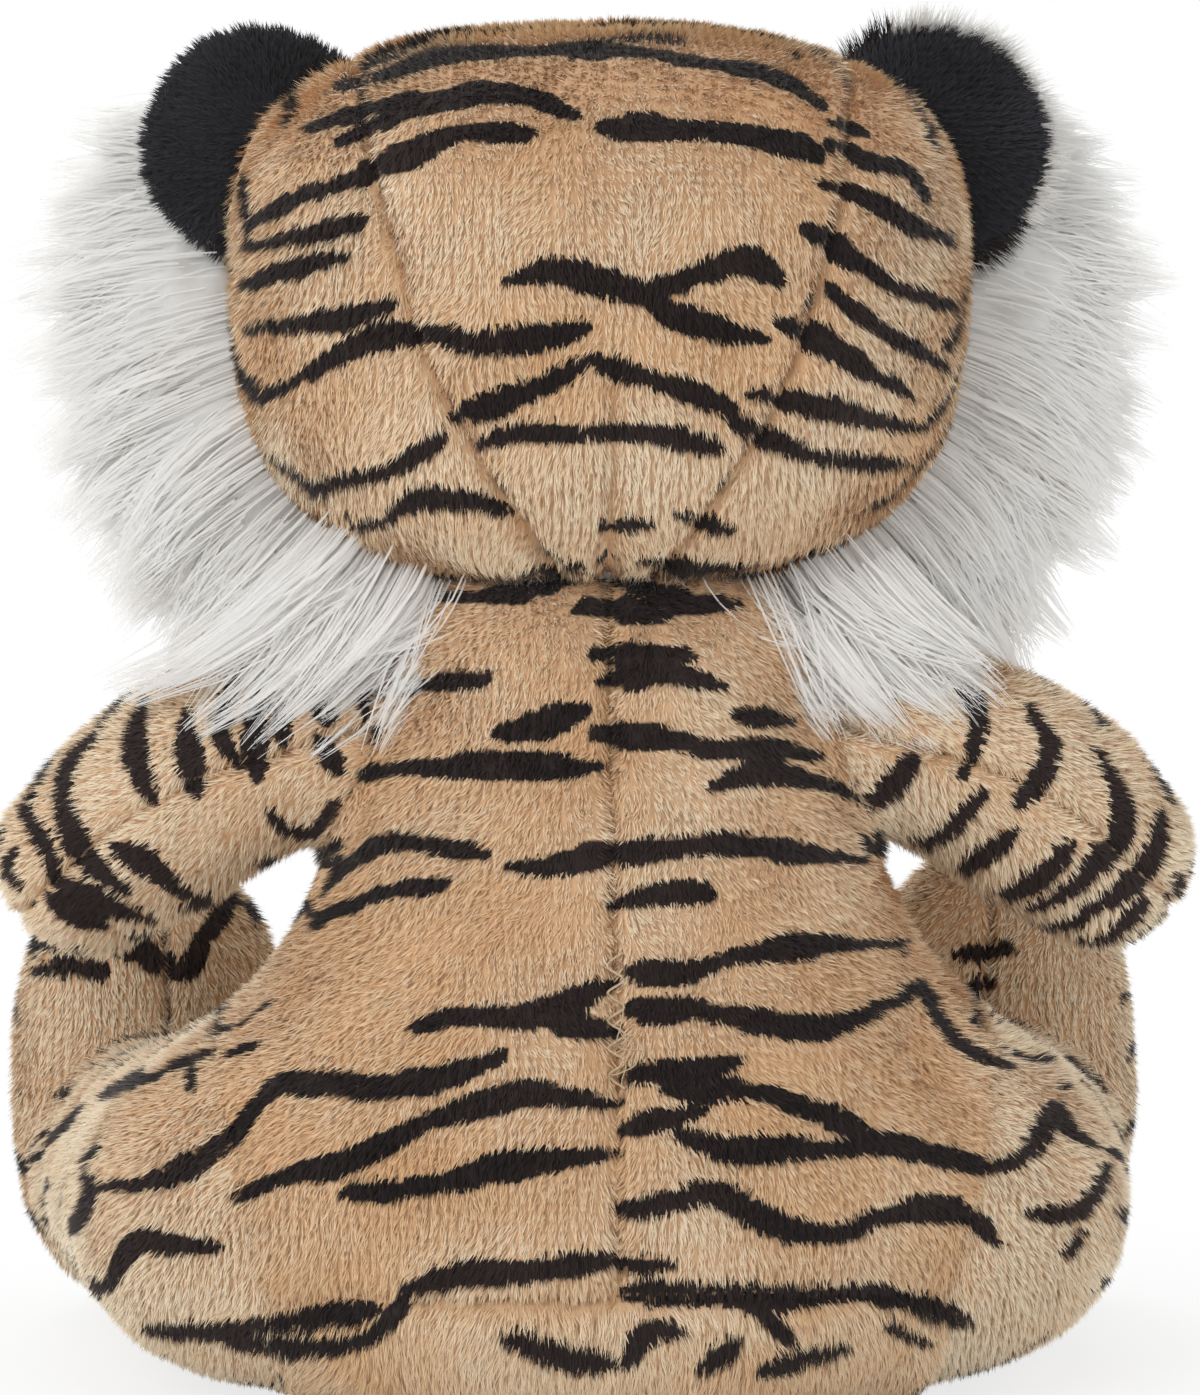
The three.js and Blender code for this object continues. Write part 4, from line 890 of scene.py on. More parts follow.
hip_fillet, shoulder_fillet = 24.0, 9.0
thighs = [(room, hip_fillet) for room in leg_room.values()]
upper_arms = [(room, shoulder_fillet) for room in arm_room.values()]


def outside(rooms, slack=1.5):
    """The share of the pile that grows at a place: all of it outside these forms, none inside them."""
    def weight(p, n):
        nearest = np.min([room(p) for room in rooms], axis=0)
        shown = (nearest > -slack - pile_depth) * 1.0
        return shown * np.where((p[:, 2] < 3) & (n[:, 2] < -0.6), 0.35, 1.0)
    return weight


head_centre = np.array([0.0, -4.0, 202.0])
head_half = np.array([67.0, 52.0, 45.0, 58.0])  # across, deep, above and below
head_round, head_up = 2.3, 2.7


def ball_size(q, half, hard_round, hard_up):
    """1 on a squared ball's skin and in proportion elsewhere, from a point's place about the ball's middle."""
    tall = np.where(q[..., 2] < 0, half[3], half[2])
    level = np.abs(q[..., 0] / half[0]) ** hard_round + np.abs(q[..., 1] / half[1]) ** hard_round
    return (level ** (hard_up / hard_round) + np.abs(q[..., 2] / tall) ** hard_up) ** (1 / hard_up)


own_axes = np.eye(3)


def ball_room(centre, half, hard_round, hard_up, axes=own_axes):
    """The room function of a squared ball whose own axes are the rows of a matrix."""
    def room(p):
        away = p - centre
        size = ball_size(away @ axes.T, half, hard_round, hard_up)
        return np.linalg.norm(away, axis=-1) * (1 - 1 / np.maximum(size, 1e-3))
    return room


head_ball = head_centre, head_half, head_round, head_up
head_room = ball_room(*head_ball)
torso_middle = np.array([0, torso_lean, 70.0])
torso_weight = outside([*leg_room.values(), *arm_room.values(), head_room], 2.5)


def torso_ink(p, n):
    return dyed(p, n, torso_stripes + leg_stripes, up, 201)


def torso_comb(p, n):
    spread = 0.35 * p[:, :1] / torso_half_width * np.array([[1.0, 0, 0]])
    return np.array([0, 0.1, -1.0]) + spread


def middle_back(height):
    return quarter + 0 * height


walls = {
    "torso_back_left": (belly_angle, middle_back, 84, ["torso_filling"]),
    "torso_back_right": (middle_back, lambda height: np.pi - belly_angle(height), 84, []),
    "belly_panel": (lambda height: -np.pi - belly_angle(height), belly_angle, 44, []),
}
for seed, (node, (first, last, columns, filling)) in enumerate(walls.items(), 21):
    belly = node == "belly_panel"
    sheet = sewn(torso_wall(first, last, 76, columns), ["left", "right", "low"], torso_middle)
    sheet = joined(sheet, torso_room, thighs + upper_arms)
    cloth = {"slot": "cream_plush", "pale": everywhere} if belly else {}
    plush_piece(node, "torso", sheet, torso_comb, nowhere if belly else torso_ink, seed, filling,
                weight=torso_weight, tone=torso_tone, **cloth)

cloth_over_floor = 1.2


def off_floor(sheet):
    """Lifts the points that lie lower than the cloth does over the floor."""
    sheet[0][:, 2] = np.maximum(sheet[0][:, 2], cloth_over_floor)


turn, out = np.linspace(0, whole_circle, 150), np.linspace(0, 1, 44)
seat, rim = out[:26], out[26:]
floor_share = np.sin(quarter * seat / seat[-1])
seat_edge = torso_skin(turn, np.full(len(turn), pile_depth))
seat_centre = np.array([0, torso_lean, pile_depth])
underside = seat_centre + (seat_edge - seat_centre)[None] * floor_share[:, None, None]
rise = ((rim - seat[-1]) / (1 - seat[-1]))[:, None]
side_heights = pile_depth + (base_seam(turn)[None] - pile_depth) * rise
flank = torso_skin(turn[None] + 0 * rise, side_heights)
sheet = sewn(np.concatenate([underside, flank]), ["high"], np.array([0, torso_lean, 10.0]), cap=0.1)
sheet = joined(sheet, torso_room, thighs)
off_floor(sheet)
base_coat = {**tan_coat, "raised": 16, "length": 4.0}
plush_piece("base_panel", "torso", sheet, torso_comb, torso_ink, 31, ["pellet_bag"], base_coat,
            weight=torso_weight, tone=torso_tone)

# Legs. Each thigh is a round plush cover that lies beside the seat and is filled out where it meets it. A
# foot of two tan halves and a cream sole stands at its end, sewn round the ankle.
def fanned(first, second, columns):
    """Directions that turn evenly from each first one to its second one."""
    a, b = unit(first), unit(second)
    angle = np.maximum(np.arccos(np.clip((a * b).sum(-1, keepdims=True), -1, 1)), 1e-6)[:, None]
    share = np.linspace(0, 1, columns)[None, :, None]
    return (np.sin((1 - share) * angle) * a[:, None] + np.sin(share * angle) * b[:, None]) / np.sin(angle)


def ball_cloth(first, second, columns, centre, half, hard_round, hard_up, axes=own_axes):
    """The grid of a panel on a squared ball: from each direction of one edge to the same one of the other, each
    direction made as long as the ball's skin lies from its middle."""
    ways = fanned(first, second, columns)
    skin = ways / ball_size(ways, half - pile_depth, hard_round, hard_up)[..., None]
    return centre + skin @ axes


def leaving(spot_at, angles, farthest, half, hard_round, hard_up):
    """Where the lines at these angles leave a squared ball's skin: spot_at gives the lines' points at distances
    from 0 to the farthest, and halved steps find the distances."""
    near, far = np.zeros(len(angles)), np.full(len(angles), farthest)
    for _ in range(40):
        middle = (near + far) / 2
        spot = spot_at(middle)
        inside = ball_size(spot, half, hard_round, hard_up) < 1
        near, far = np.where(inside, middle, near), np.where(inside, far, middle)
    return spot


def ring_at(line, angles, half, hard_round, hard_up):
    """Where a squared ball's skin crosses an upright plane that lies this far back, at these angles round it from
    the top."""
    def spot_at(far):
        return np.stack([far * np.sin(angles), np.full(len(angles), line), far * np.cos(angles)], -1)
    return leaving(spot_at, angles, 2 * half.max(), half, hard_round, hard_up)


velour_coat = {"length": 1.9, "width": 0.36, "raised": 50, "tuft": 1.4, "gather": 0.3, "swirl": 20,
               "swirl_size": 20, "per_mm2": 5.5}
foot_half = np.array([foot_half_width, foot_half_depth, foot_half_height, foot_half_height])
foot_room, foot_ball = {}, {}
for name in sides:
    back = -leg_ahead[name]
    centre = hips[name] + leg_ahead[name] * (leg_length + foot_half_depth - foot_overlap)
    centre[2] = foot_half_height - 0.5
    axes = np.array([np.cross(back, up), back, up])
    foot_ball[name] = centre, foot_half, foot_hardness, foot_hardness, axes
    foot_room[name] = ball_room(*foot_ball[name])

sole_line = sole_depth - foot_half_depth
half_turn = np.linspace(0, np.pi, 64)
whole_turn = np.linspace(0, whole_circle, 120)
foot_skin = foot_half - pile_depth
seam_half = ring_at(sole_line, half_turn, foot_skin, foot_hardness, foot_hardness)
seam_whole = ring_at(sole_line, whole_turn, foot_skin, foot_hardness, foot_hardness)
corner = math.atan2(seam_half[0, 2], sole_line)
arch = np.linspace(corner, -corner, 64)
middle_line = np.stack([0 * arch, np.cos(arch), np.sin(arch)], -1)


def foot_ink(p, n):
    return dyed(p, n, foot_stripes, up, 205, forwards) * np.clip((p[:, 2] - 8) / 6, 0, 1)


ankle_fillet = 9.0
for number, (name, sign) in enumerate(sides.items()):
    ahead, foot_middle = leg_ahead[name], foot_ball[name][0]
    grid = limb_grid(leg_stations[name], leg_ends, 50, 110, -quarter, 3 * quarter)
    sheet = sewn(grid, [], hips[name], cap=1.5)
    sheet = joined(sheet, leg_room[name], [(torso_room, hip_fillet), (foot_room[name], ankle_fillet)])
    start, end = hips[name] + ahead * 2, hips[name] + ahead * 52
    plush_piece(f"leg_{name}_cover", ("torso", f"leg_{name}", start, end), sheet,
                lambda p, n: ahead * 0.45 + down + 0.2 * backwards + 0 * p,
                lambda p, n: dyed(p, n, leg_stripes + torso_stripes, unit(up + 0.35 * ahead), 201, ahead),
                41 + number, [f"leg_{name}_filling"], weight=outside([torso_room, foot_room[name]]), closed=True,
                tone=limb_tone)
    halves = {"outer": sign, "inner": -sign}
    for step, (half, way) in enumerate(halves.items()):
        grid = ball_cloth(seam_half * [way, 1, 1], middle_line, 44, *foot_ball[name])
        sheet = sewn(grid, ["left", "right"], foot_middle, cap=1.2)
        sheet = joined(sheet, foot_room[name], [(leg_room[name], ankle_fillet)])
        off_floor(sheet)
        filling = [f"foot_{name}_filling"] if half == "outer" else []
        plush_piece(f"foot_{name}_{half}", f"leg_{name}", sheet, lambda p, n: down - ahead * 0.3 + 0 * p, foot_ink,
                    45 + 2 * number + step, filling, weight=outside([torso_room, leg_room[name]]), tone=limb_tone)
    pole = np.tile(forwards, (len(whole_turn), 1))
    sheet = sewn(ball_cloth(seam_whole, pole, 30, *foot_ball[name]), ["left"], foot_middle, cap=0.8)
    off_floor(sheet)
    plush_piece(f"foot_{name}_sole", f"leg_{name}", sheet, lambda p, n: np.array([0, 0.25, -1.0]) + 0 * p,
                nowhere, 51 + number, coat=velour_coat, slot="cream_plush", pale=everywhere)

# Arms. A stuffed tube in an upper and a lower half, seamed along its back and front, closed by a round paw,
# and sewn to the shoulder.
arm_stripes = {
    "left": [
        [(106, 98), (107, 94), (105, 91)], [(102, 112), (104, 106), (100, 98), (97, 92), (90, 88), (80, 85)],
        [(91, 119), (96, 114), (97, 106), (93, 97), (85, 90)], [(82, 126), (84, 118), (83, 111), (80, 106)],
        [(88, 99), (80, 94), (74, 89), (65, 90)], [(75, 123), (74, 116), (73, 108)],
        [(65, 131), (68, 123), (68, 118), (65, 113)], [(61, 129), (62, 121), (62, 116), (62, 111)],
        [(58, 128), (57, 117)], [(51, 127), (49, 121)], [(43, 131), (42, 122)], [(51, 118), (47, 112)],
        [(60, 104), (56, 101), (51, 101), (48, 106)], [(100, 90), (95, 86), (89, 84)],
    ],
    "right": [
        [(-62, 131), (-67, 126), (-68, 118), (-65, 111)], [(-77, 124), (-81, 118), (-80, 112), (-75, 106)],
        [(-90, 116), (-94, 108), (-94, 101), (-90, 96), (-83, 89), (-71, 85)],
        [(-101, 105), (-101, 99), (-97, 93), (-89, 87), (-83, 84), (-75, 84)], [(-105, 93), (-104, 89)],
        [(-45, 104), (-52, 108), (-57, 115)], [(-50, 97), (-60, 99), (-65, 103), (-70, 108)],
        [(-52, 95), (-61, 92), (-67, 95), (-75, 101)], [(-64, 89), (-72, 89), (-80, 93), (-85, 99)],
        [(-79, 80), (-90, 81), (-96, 85), (-99, 89)],
    ],
}
for number, (name, sign) in enumerate(sides.items()):
    ahead = arm_ahead[name]
    inside = shoulders[name] + ahead * arm_length / 2
    for step, (half, first) in enumerate({"upper": 0.0, "lower": np.pi}.items()):
        grid = limb_grid(arm_stations[name], arm_ends, 40, 54, first, first + np.pi)
        sheet = sewn(grid, ["left", "right"], inside, cap=1.5)
        sheet = joined(sheet, arm_room[name], [(torso_room, shoulder_fillet)])
        start, end = shoulders[name] + ahead * 2, shoulders[name] + ahead * 20
        filling = [f"arm_{name}_filling"] if half == "upper" else []
        plush_piece(f"arm_{name}_{half}", ("torso", f"arm_{name}", start, end), sheet,
                    lambda p, n: ahead + 0.35 * down + 0 * p,
                    lambda p, n: dyed(p, n, arm_stripes[name], ahead, 221),
                    61 + 2 * number + step, filling, weight=outside([torso_room]), tone=limb_tone)

# Neck. A firm wad of fibre that stands in the torso and carries the head, with a flat underside.
neck_centre, neck_radius, neck_flat = np.array([0, 0, 144.0]), 19.7, 12.0


def whole_ball(centre, half, hard_round, hard_up):
    """The grid of a whole squared ball, by its latitudes and by the angle round it."""
    latitude, turn = np.meshgrid(np.linspace(-quarter, quarter, 40), np.linspace(0, whole_circle, 60), indexing="ij")
    wide = np.abs(bend(np.cos(latitude), hard_up))
    tall = bend(np.sin(latitude), hard_up) * np.where(latitude < 0, half[3], half[2])
    spots = np.stack([half[0] * wide * bend(np.cos(turn), hard_round),
                      half[1] * wide * bend(np.sin(turn), hard_round), tall], -1)
    return centre + spots


# Loose white fibre: fine threads that run every way, with soft hollows between them that are painted darker as
# shade.
fibre, dye = new_material("fibre_filling")
threads = dye.noise(500.0, 4.0, Distortion=2.0)
# Painted shade: the colour darkens where the bump sinks into its hollows.
colour = ((threads - 0.3) * 2.5).between(srgb(205, 203, 198), srgb(245, 244, 240))
finish_surface(dye, Base_Color=colour, Roughness=0.95, Normal=dye.bump(threads, 0.8, 0.0008))

points, triangles, places = stitched(whole_ball(neck_centre, np.full(4, neck_radius), 2, 2), neck_centre)
points = points + normals_of(points, triangles) * (0.4 * ripple(points, 9, 71) - 0.5)[:, None]
points[:, 2] = np.maximum(points[:, 2], neck_centre[2] - neck_flat + 0.3)
declare(mesh_piece("neck_fibre", points, triangles, places, fibre), "neck", ["neck_filling"], "fibre_filling")

# Head. A wide middle panel runs from the brow over the top and narrows down the back; two side panels
# and the face close it. Its pile lies like the torso's, and its own dyed stripes cross the seams.
head_stripes = [
    [(48, 238), (32, 244)], [(48, 235), (32, 240)], [(53, 228), (33, 234)],
    [(64, 210), (55, 215), (44, 219), (35, 223), (25, 227), (12, 227)], [(66, 206), (55, 208), (43, 211)],
    [(68, 198), (60, 201), (46, 205)], [(67, 191), (50, 193), (37, 196)],
    [(65, 177), (55, 182), (45, 188), (35, 191), (22, 189), (12, 190), (2, 192)],
    [(57, 161), (45, 164), (36, 167), (28, 172)], [(48, 155), (39, 157), (31, 161), (16, 159)],
    [(44, 240), (35, 244), (21, 246)], [(17, 247), (6, 247)],
    [(48, 235), (38, 238), (28, 241), (13, 242), (-4, 242), (-17, 240), (-30, 238), (-41, 232)],
    [(-1, 246), (-23, 246), (-33, 243), (-36, 241)],
    [(47, 225), (38, 230), (25, 234), (14, 234), (4, 230)],
    [(0, 228), (-10, 228), (-23, 227), (-35, 225), (-40, 223)],
    [(17, 200), (8, 202), (-1, 200), (-7, 198), (-14, 200), (-26, 204), (-33, 200)],
    [(-7, 198), (-14, 194), (-20, 192), (-30, 190)], [(26, 176), (19, 178), (9, 182), (3, 185)],
    [(2, 186), (-7, 183), (-17, 180), (-24, 177)], [(22, 170), (15, 173), (3, 172)],
    [(2, 173), (-7, 173), (-22, 170)], [(18, 145), (7, 148), (3, 148)], [(0, 156), (-9, 156)],
    [(-14, 158), (-24, 155)], [(-7, 150), (-18, 148), (-32, 149)], [(-42, 229), (-48, 227)],
    [(-41, 225), (-49, 222), (-56, 220), (-59, 215)], [(-40, 218), (-49, 215), (-57, 210), (-66, 206)],
    [(-37, 210), (-46, 204), (-54, 199), (-67, 195)], [(-41, 199), (-49, 193), (-57, 188), (-64, 184)],
    [(-62, 189), (-66, 188)], [(-32, 193), (-41, 189), (-49, 184), (-57, 179)],
    [(-27, 180), (-43, 177), (-54, 174), (-60, 174)], [(-24, 175), (-32, 171), (-41, 168), (-56, 167)],
]
gusset_width_share = [0.07, 0.33, 0.49, 0.59, 0.65, 0.68, 0.68]
gusset_height_share = [-1, -0.56, -0.19, 0.28, 0.8, 1, 1.2]
head_skin = head_half - pile_depth, head_round, head_up
muzzle_half = np.array([27.0, 20.0, 19.0, 19.0])
muzzle_round, muzzle_up = 2.4, 2.2
muzzle_below, muzzle_sunk, muzzle_fillet = 20.0, 0.35, 12.0
ear_half = np.array([21.0, 6.0, 23.0, 23.0])
ear_tilt, ear_root_across, ear_root_height, ear_root_forward = math.radians(31), 58.88, 223.43, 10.0


def head_front(across, above):
    """How far the head's skin lies in front of its middle, at a place across and above that middle."""
    tall = head_half[3] if above < 0 else head_half[2]
    level = (1 - abs(above / tall) ** head_up) ** (1 / head_up)
    return head_half[1] * level * (1 - abs(across / (head_half[0] * level)) ** head_round) ** (1 / head_round)


def gusset_edge(angles):
    """Where the middle panel's left seam crosses the head's skin, at angles in the upright plane from the back
    over the top."""
    heights, widths = spline(gusset_height_share, steps), head_half[0] * spline(gusset_width_share, steps)

    def spot_at(far):
        above = far * np.sin(angles)
        across = np.interp(above / np.where(above < 0, head_half[3], head_half[2]), heights, widths)
        return np.stack([across, far * np.cos(angles), above], -1)
    return leaving(spot_at, angles, 120.0, *head_skin)


muzzle_centre = np.array([0, head_centre[1] - head_front(0, -muzzle_below) - muzzle_half[1] * (1 - 2 * muzzle_sunk),
                          head_centre[2] - muzzle_below])
muzzle_ball = muzzle_centre, muzzle_half, muzzle_round, muzzle_up
muzzle_room = ball_room(*muzzle_ball)
ear_axes, ear_root, ear_room = {}, {}, {}
ear_round, ear_up = 2, 2.2
for name, sign in sides.items():
    out_way = np.array([sign * math.cos(ear_tilt), 0, math.sin(ear_tilt)])
    along_way = np.array([sign * math.sin(ear_tilt), 0, -math.cos(ear_tilt)])
    ear_axes[name] = np.array([along_way, backwards, out_way])
    ear_root[name] = np.array([sign * ear_root_across, -ear_root_forward, ear_root_height])
    ear_room[name] = ball_room(ear_root[name], ear_half, ear_round, ear_up, ear_axes[name])

edge = gusset_edge(np.radians(np.linspace(105, -86, 110)))
brow, chin = (math.atan2(edge[k, 0], edge[k, 2]) for k in (0, -1))
face_side = ring_at(edge[0, 1], np.linspace(brow, chin, 110), *head_skin)
face_whole = ring_at(edge[0, 1], np.linspace(0, whole_circle, 170), *head_skin)
mirror = np.array([-1, 1, 1])
eye_across, eye_above = 25.0, 2.0
eye_places = {name: head_centre + np.array([sign * eye_across, -head_front(eye_across, eye_above), eye_above])
              for name, sign in sides.items()}

head_way = unit(np.array([0.0, 0.5, 0.87]))


def head_ink(p, n):
    return dyed(p, n, head_stripes, head_way, 231)


def face_ink(p, n):
    """The stripes end at the brow and on the cheeks, well clear of the eyes and the muzzle."""
    brow_share = np.clip((p[:, 2] - head_centre[2] - 14 - 0.3 * np.abs(p[:, 0])) / 4, 0, 1)
    cheek_share = np.clip((np.abs(p[:, 0]) - 45) / 4, 0, 1)
    even = np.stack([np.abs(p[:, 0]), p[:, 1], p[:, 2]], 1)
    return wild_ink(even, unit(np.array([-0.3, 0, 1.0])), 237, 8.5) * np.maximum(brow_share, cheek_share)


def face_pale(p):
    """Pale pile round the eyes, beside the muzzle and on the chin, soft at its edge."""
    spots = [np.linalg.norm((p - eye) * [1, 0.6, 0.8] - [0, 0, 3], axis=1) / 12 for eye in eye_places.values()]
    spots.append(np.linalg.norm((p - muzzle_centre) * [1, 0.5, 1], axis=1) / 31)
    nearest = np.min(spots, axis=0) + 0.12 * ripple(p, 8, 73)
    return np.clip((1.05 - nearest) / 0.2, 0, 1)


def head_comb(p, n):
    return np.array([0, 0.45, -1.0]) + 0.25 * unit(p - head_centre) * [1, 0, 0]


def face_comb(p, n):
    """The face's pile runs up and out from the nose."""
    return unit(p - muzzle_centre - [0, 0, 6]) + 0.15 * up


def dart(grid, sheet, first_row):
    """The sheet with a seam down the middle column of its grid from this row on, as deep as its other seams."""
    line = grid[first_row:, grid.shape[1] // 2]
    points, triangles, places, ditch = sheet
    away = np.full(len(points), 99.0)
    for part in np.array_split(np.arange(len(points)), 20):
        away[part] = np.linalg.norm(points[part, None] - line[None], axis=-1).min(1)
    share = np.exp(-((away / seam_width) ** 2)) * 0.8
    points = points - normals_of(points, triangles) * (seam_depth * share * (1 - ditch))[:, None]
    return points, triangles, places, np.maximum(ditch, share)


panels = {
    "head_gusset": (edge, edge * mirror, 96, ["left", "right", "low"]),
    "head_side_left": (edge, face_side, 60, ["left", "right"]),
    "head_side_right": (edge * mirror, face_side * mirror, 60, ["left", "right"]),
    "face_panel": (face_whole, np.tile(forwards, (len(face_whole), 1)), 60, ["left"]),
}
dart_row, ear_fillet = 68, 5.0
eye_mound, eye_mound_width = 1.8, 9
head_weight = outside([torso_room, muzzle_room, *ear_room.values()], 1.0)
for seed, (node, (first, second, columns, edges)) in enumerate(panels.items(), 81):
    grid = ball_cloth(first, second, columns, *head_ball)
    sheet = sewn(grid, edges, head_centre, cap=1.8)
    if node == "head_gusset":
        sheet = dart(grid, sheet, dart_row)
    sheet = joined(sheet, head_room, [(room, ear_fillet) for room in ear_room.values()])
    face = node == "face_panel"
    if face:
        points, triangles, places, ditch = joined(sheet, head_room, [(muzzle_room, muzzle_fillet)])
        for eye in eye_places.values():
            near = np.exp(-((np.linalg.norm(points - eye, axis=1) / eye_mound_width) ** 2))
            points = points + unit(points - head_centre) * (eye_mound * near)[:, None]
        sheet = points, triangles, places, ditch
    filling = ["head_filling"] if node == "head_gusset" else []
    plush_piece(node, "head", sheet, face_comb if face else head_comb, face_ink if face else head_ink, seed,
                filling, pale=face_pale if face else nowhere, weight=head_weight, tone=head_tone)

# Face. A white muzzle with a cleft under the nose, a woven nose, an embroidered mouth, and two moulded
# safety eyes whose shanks are locked by washers behind the cloth.
white_pile, white_shadow = srgb(251, 250, 248), srgb(240, 238, 234)
ear_black, ear_shine = srgb(24, 24, 28), srgb(58, 57, 64)
# Its third colour is the painted shade at the pile's roots.
white_plush = plush_material("white_plush", white_pile, white_shadow, srgb(228, 225, 219), stripe_dark, cream, 0.3)
muzzle_coat = {**tan_coat, "length": 3.4, "width": 0.4, "raised": 34, "per_mm2": 5.5}
nose_half, nose_lift = np.array([9.0, 5.0, 6.0, 6.0]), 10.0
nose_centre = muzzle_centre + [0, -muzzle_half[1] * math.sqrt(1 - (nose_lift / muzzle_half[2]) ** 2), nose_lift]
turn = np.linspace(0, whole_circle, 110)
first = np.stack([np.sin(turn), 0 * turn + 0.25, np.cos(turn)], -1)
grid = ball_cloth(first, np.tile(forwards, (len(turn), 1)), 50, *muzzle_ball)
sheet = sewn(grid, [], muzzle_centre, cap=0.8)
points, triangles, places, ditch = joined(sheet, muzzle_room, [(head_room, muzzle_fillet)])
below_nose = 1 / (1 + np.exp((points[:, 2] - muzzle_centre[2] - 4) / 1.5))
cleft_depth, cleft_width = 2.6, 2.4
cleft = cleft_depth * np.exp(-((points[:, 0] / cleft_width) ** 2)) * below_nose
points[:, 1] += cleft * (points[:, 1] < muzzle_centre[1] - 6)
plush_piece("muzzle", "head", (points, triangles, places, ditch), lambda p, n: p - nose_centre, nowhere, 91, [],
            muzzle_coat, "cream_plush", white_plush, weight=outside([head_room], 2.0))


def woven_material(name, light, dark, pitch, roughness, sheen=0.0):
    """Threads over and under each other: two sets of waves that cross, lighter where the threads rise and darker
    where they sink, as painted light and shade, and with each thread's own shade.
    """
    material, dye = new_material(name)
    x, _, z = dye.spot().split()
    turns = 2 * math.pi / (pitch * mm)
    weave = dye.math("SINE", x * turns) * dye.math("SINE", z * turns) * 0.5 + 0.5
    cloud = dye.noise(260.0, 3.0)
    # Painted light and shade: the weave that raises the bump also lightens the raised threads and darkens the dips.
    finish_surface(dye, Base_Color=(weave * 0.6 + cloud * 0.5).between(dark, light), Sheen_Weight=sheen,
                   Roughness=roughness + (cloud - 0.5) * 0.2, Normal=dye.bump(weave, 0.6, 0.0003))
    return material


nose_taper = 0.35
points, triangles, places = stitched(whole_ball(nose_centre, nose_half, 2.2, 2), nose_centre)
points[:, 0] *= 1 - nose_taper * np.clip((nose_centre[2] - points[:, 2]) / nose_half[2], 0, 1)
nose_fabric = woven_material("nose_fabric", srgb(92, 62, 54), srgb(48, 30, 27), 0.9, 0.5, 0.2)
declare(mesh_piece("nose_woven", points, triangles, places, nose_fabric), "head", ["nose"], "nose_fabric")


ply_depth = 0.14


def tube(path, radius, twist):
    """A thread's grid: a circle carried along a path, with the ridges of its two plies winding round it."""
    ahead = unit(np.gradient(path, axis=0))
    side = unit(np.cross(ahead, [0.13, 0.2, 0.97]))
    above = np.cross(ahead, side)
    length = run_along(path)
    turn = np.linspace(0, whole_circle, 11)[None]
    ends = np.minimum(1, np.minimum(length, length[-1] - length) / radius)[:, None]
    reach = radius * np.sqrt(1 - (1 - ends) ** 2) * (1 - ply_depth * np.abs(np.sin(turn + twist * length[:, None])))
    wide, tall = (reach * np.cos(turn))[..., None], (reach * np.sin(turn))[..., None]
    return path[:, None] + side[:, None] * wide + above[:, None] * tall


def thread_piece(name, lines, radius, material, body, nodes, slot, twist=2.2):
    """One piece of thread from several paths."""
    sheets, count = [], 0
    for path in lines:
        points, triangles, places = stitched(tube(path, radius, twist), path.mean(0))
        if (facings(points, triangles) * points[triangles[:, 0]]).sum() < 0:
            triangles, places = triangles[:, ::-1], places[:, ::-1]
        sheets.append((points, triangles + count, places))
        count += len(points)
    made = mesh_piece(name, *(np.concatenate([s[k] for s in sheets]) for k in range(3)), material)
    declare(made, body, nodes, slot)


def on_muzzle(x, z, stand):
    """Points in front of the muzzle's skin, at places across and up."""
    level = (1 - np.abs((z - muzzle_centre[2]) / muzzle_half[2]) ** muzzle_up) ** (1 / muzzle_up)
    across = np.abs(x / (muzzle_half[0] * level)) ** muzzle_round
    depth = muzzle_half[1] * level * (1 - across) ** (1 / muzzle_round)
    return np.stack([x, muzzle_centre[1] - depth - stand, z], -1)


mouth_radius, mouth_drop, mouth_span, mouth_rise = 0.8, 9.0, 10.0, 3.0
share = np.linspace(-1, 1, 60)
smile = on_muzzle(mouth_span * share, muzzle_centre[2] - mouth_drop + mouth_rise * share ** 2, 0.4)
height = np.linspace(nose_centre[2] - nose_half[2] + 0.5, muzzle_centre[2] - mouth_drop, 30)
stem = on_muzzle(0 * height, height, -0.6)
dark_thread = woven_material("dark_thread", srgb(64, 48, 42), srgb(26, 20, 18), 0.5, 0.6)
thread_piece("mouth_stitch", [smile, stem], mouth_radius, dark_thread, "head", ["mouth_thread"], "dark_thread")

# The eyes' moulded plastic: a black pupil in a brown iris that darkens outwards.
eye_plastic, dye = new_material("eye_plastic")
x, _, z = dye.spot().split()
from_middle = dye.math("ABSOLUTE", x) - eye_across * mm
from_level = z - eye_places["left"][2] * mm
distance = ((from_middle * from_middle + from_level * from_level) ** 0.5) / mm
streaks = dye.noise(700.0, 2.0)
pupil_radius = 2.7
iris = ((distance - 3.2) / 2.2 + (streaks - 0.5) * 0.6).between(srgb(126, 74, 30), srgb(52, 27, 12))
colour = ((distance - pupil_radius) / 0.25).between(srgb(6, 5, 5), iris)
finish_surface(dye, Base_Color=colour, Roughness=0.06 + streaks * 0.03, Coat_Weight=0.6, Coat_Roughness=0.03)
washer_plastic, dye = new_material("washer_plastic")
cloud = dye.noise(180.0, 3.0)
finish_surface(dye, Base_Color=cloud.between(srgb(222, 222, 216), srgb(240, 240, 236)), Roughness=0.4 + cloud * 0.1)
for name in sides:
    for node, finish in ((f"eye_{name}", eye_plastic), (f"eye_washer_{name}", washer_plastic)):
        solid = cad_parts[node]
        solid.data.materials.clear()
        solid.data.materials.append(finish)

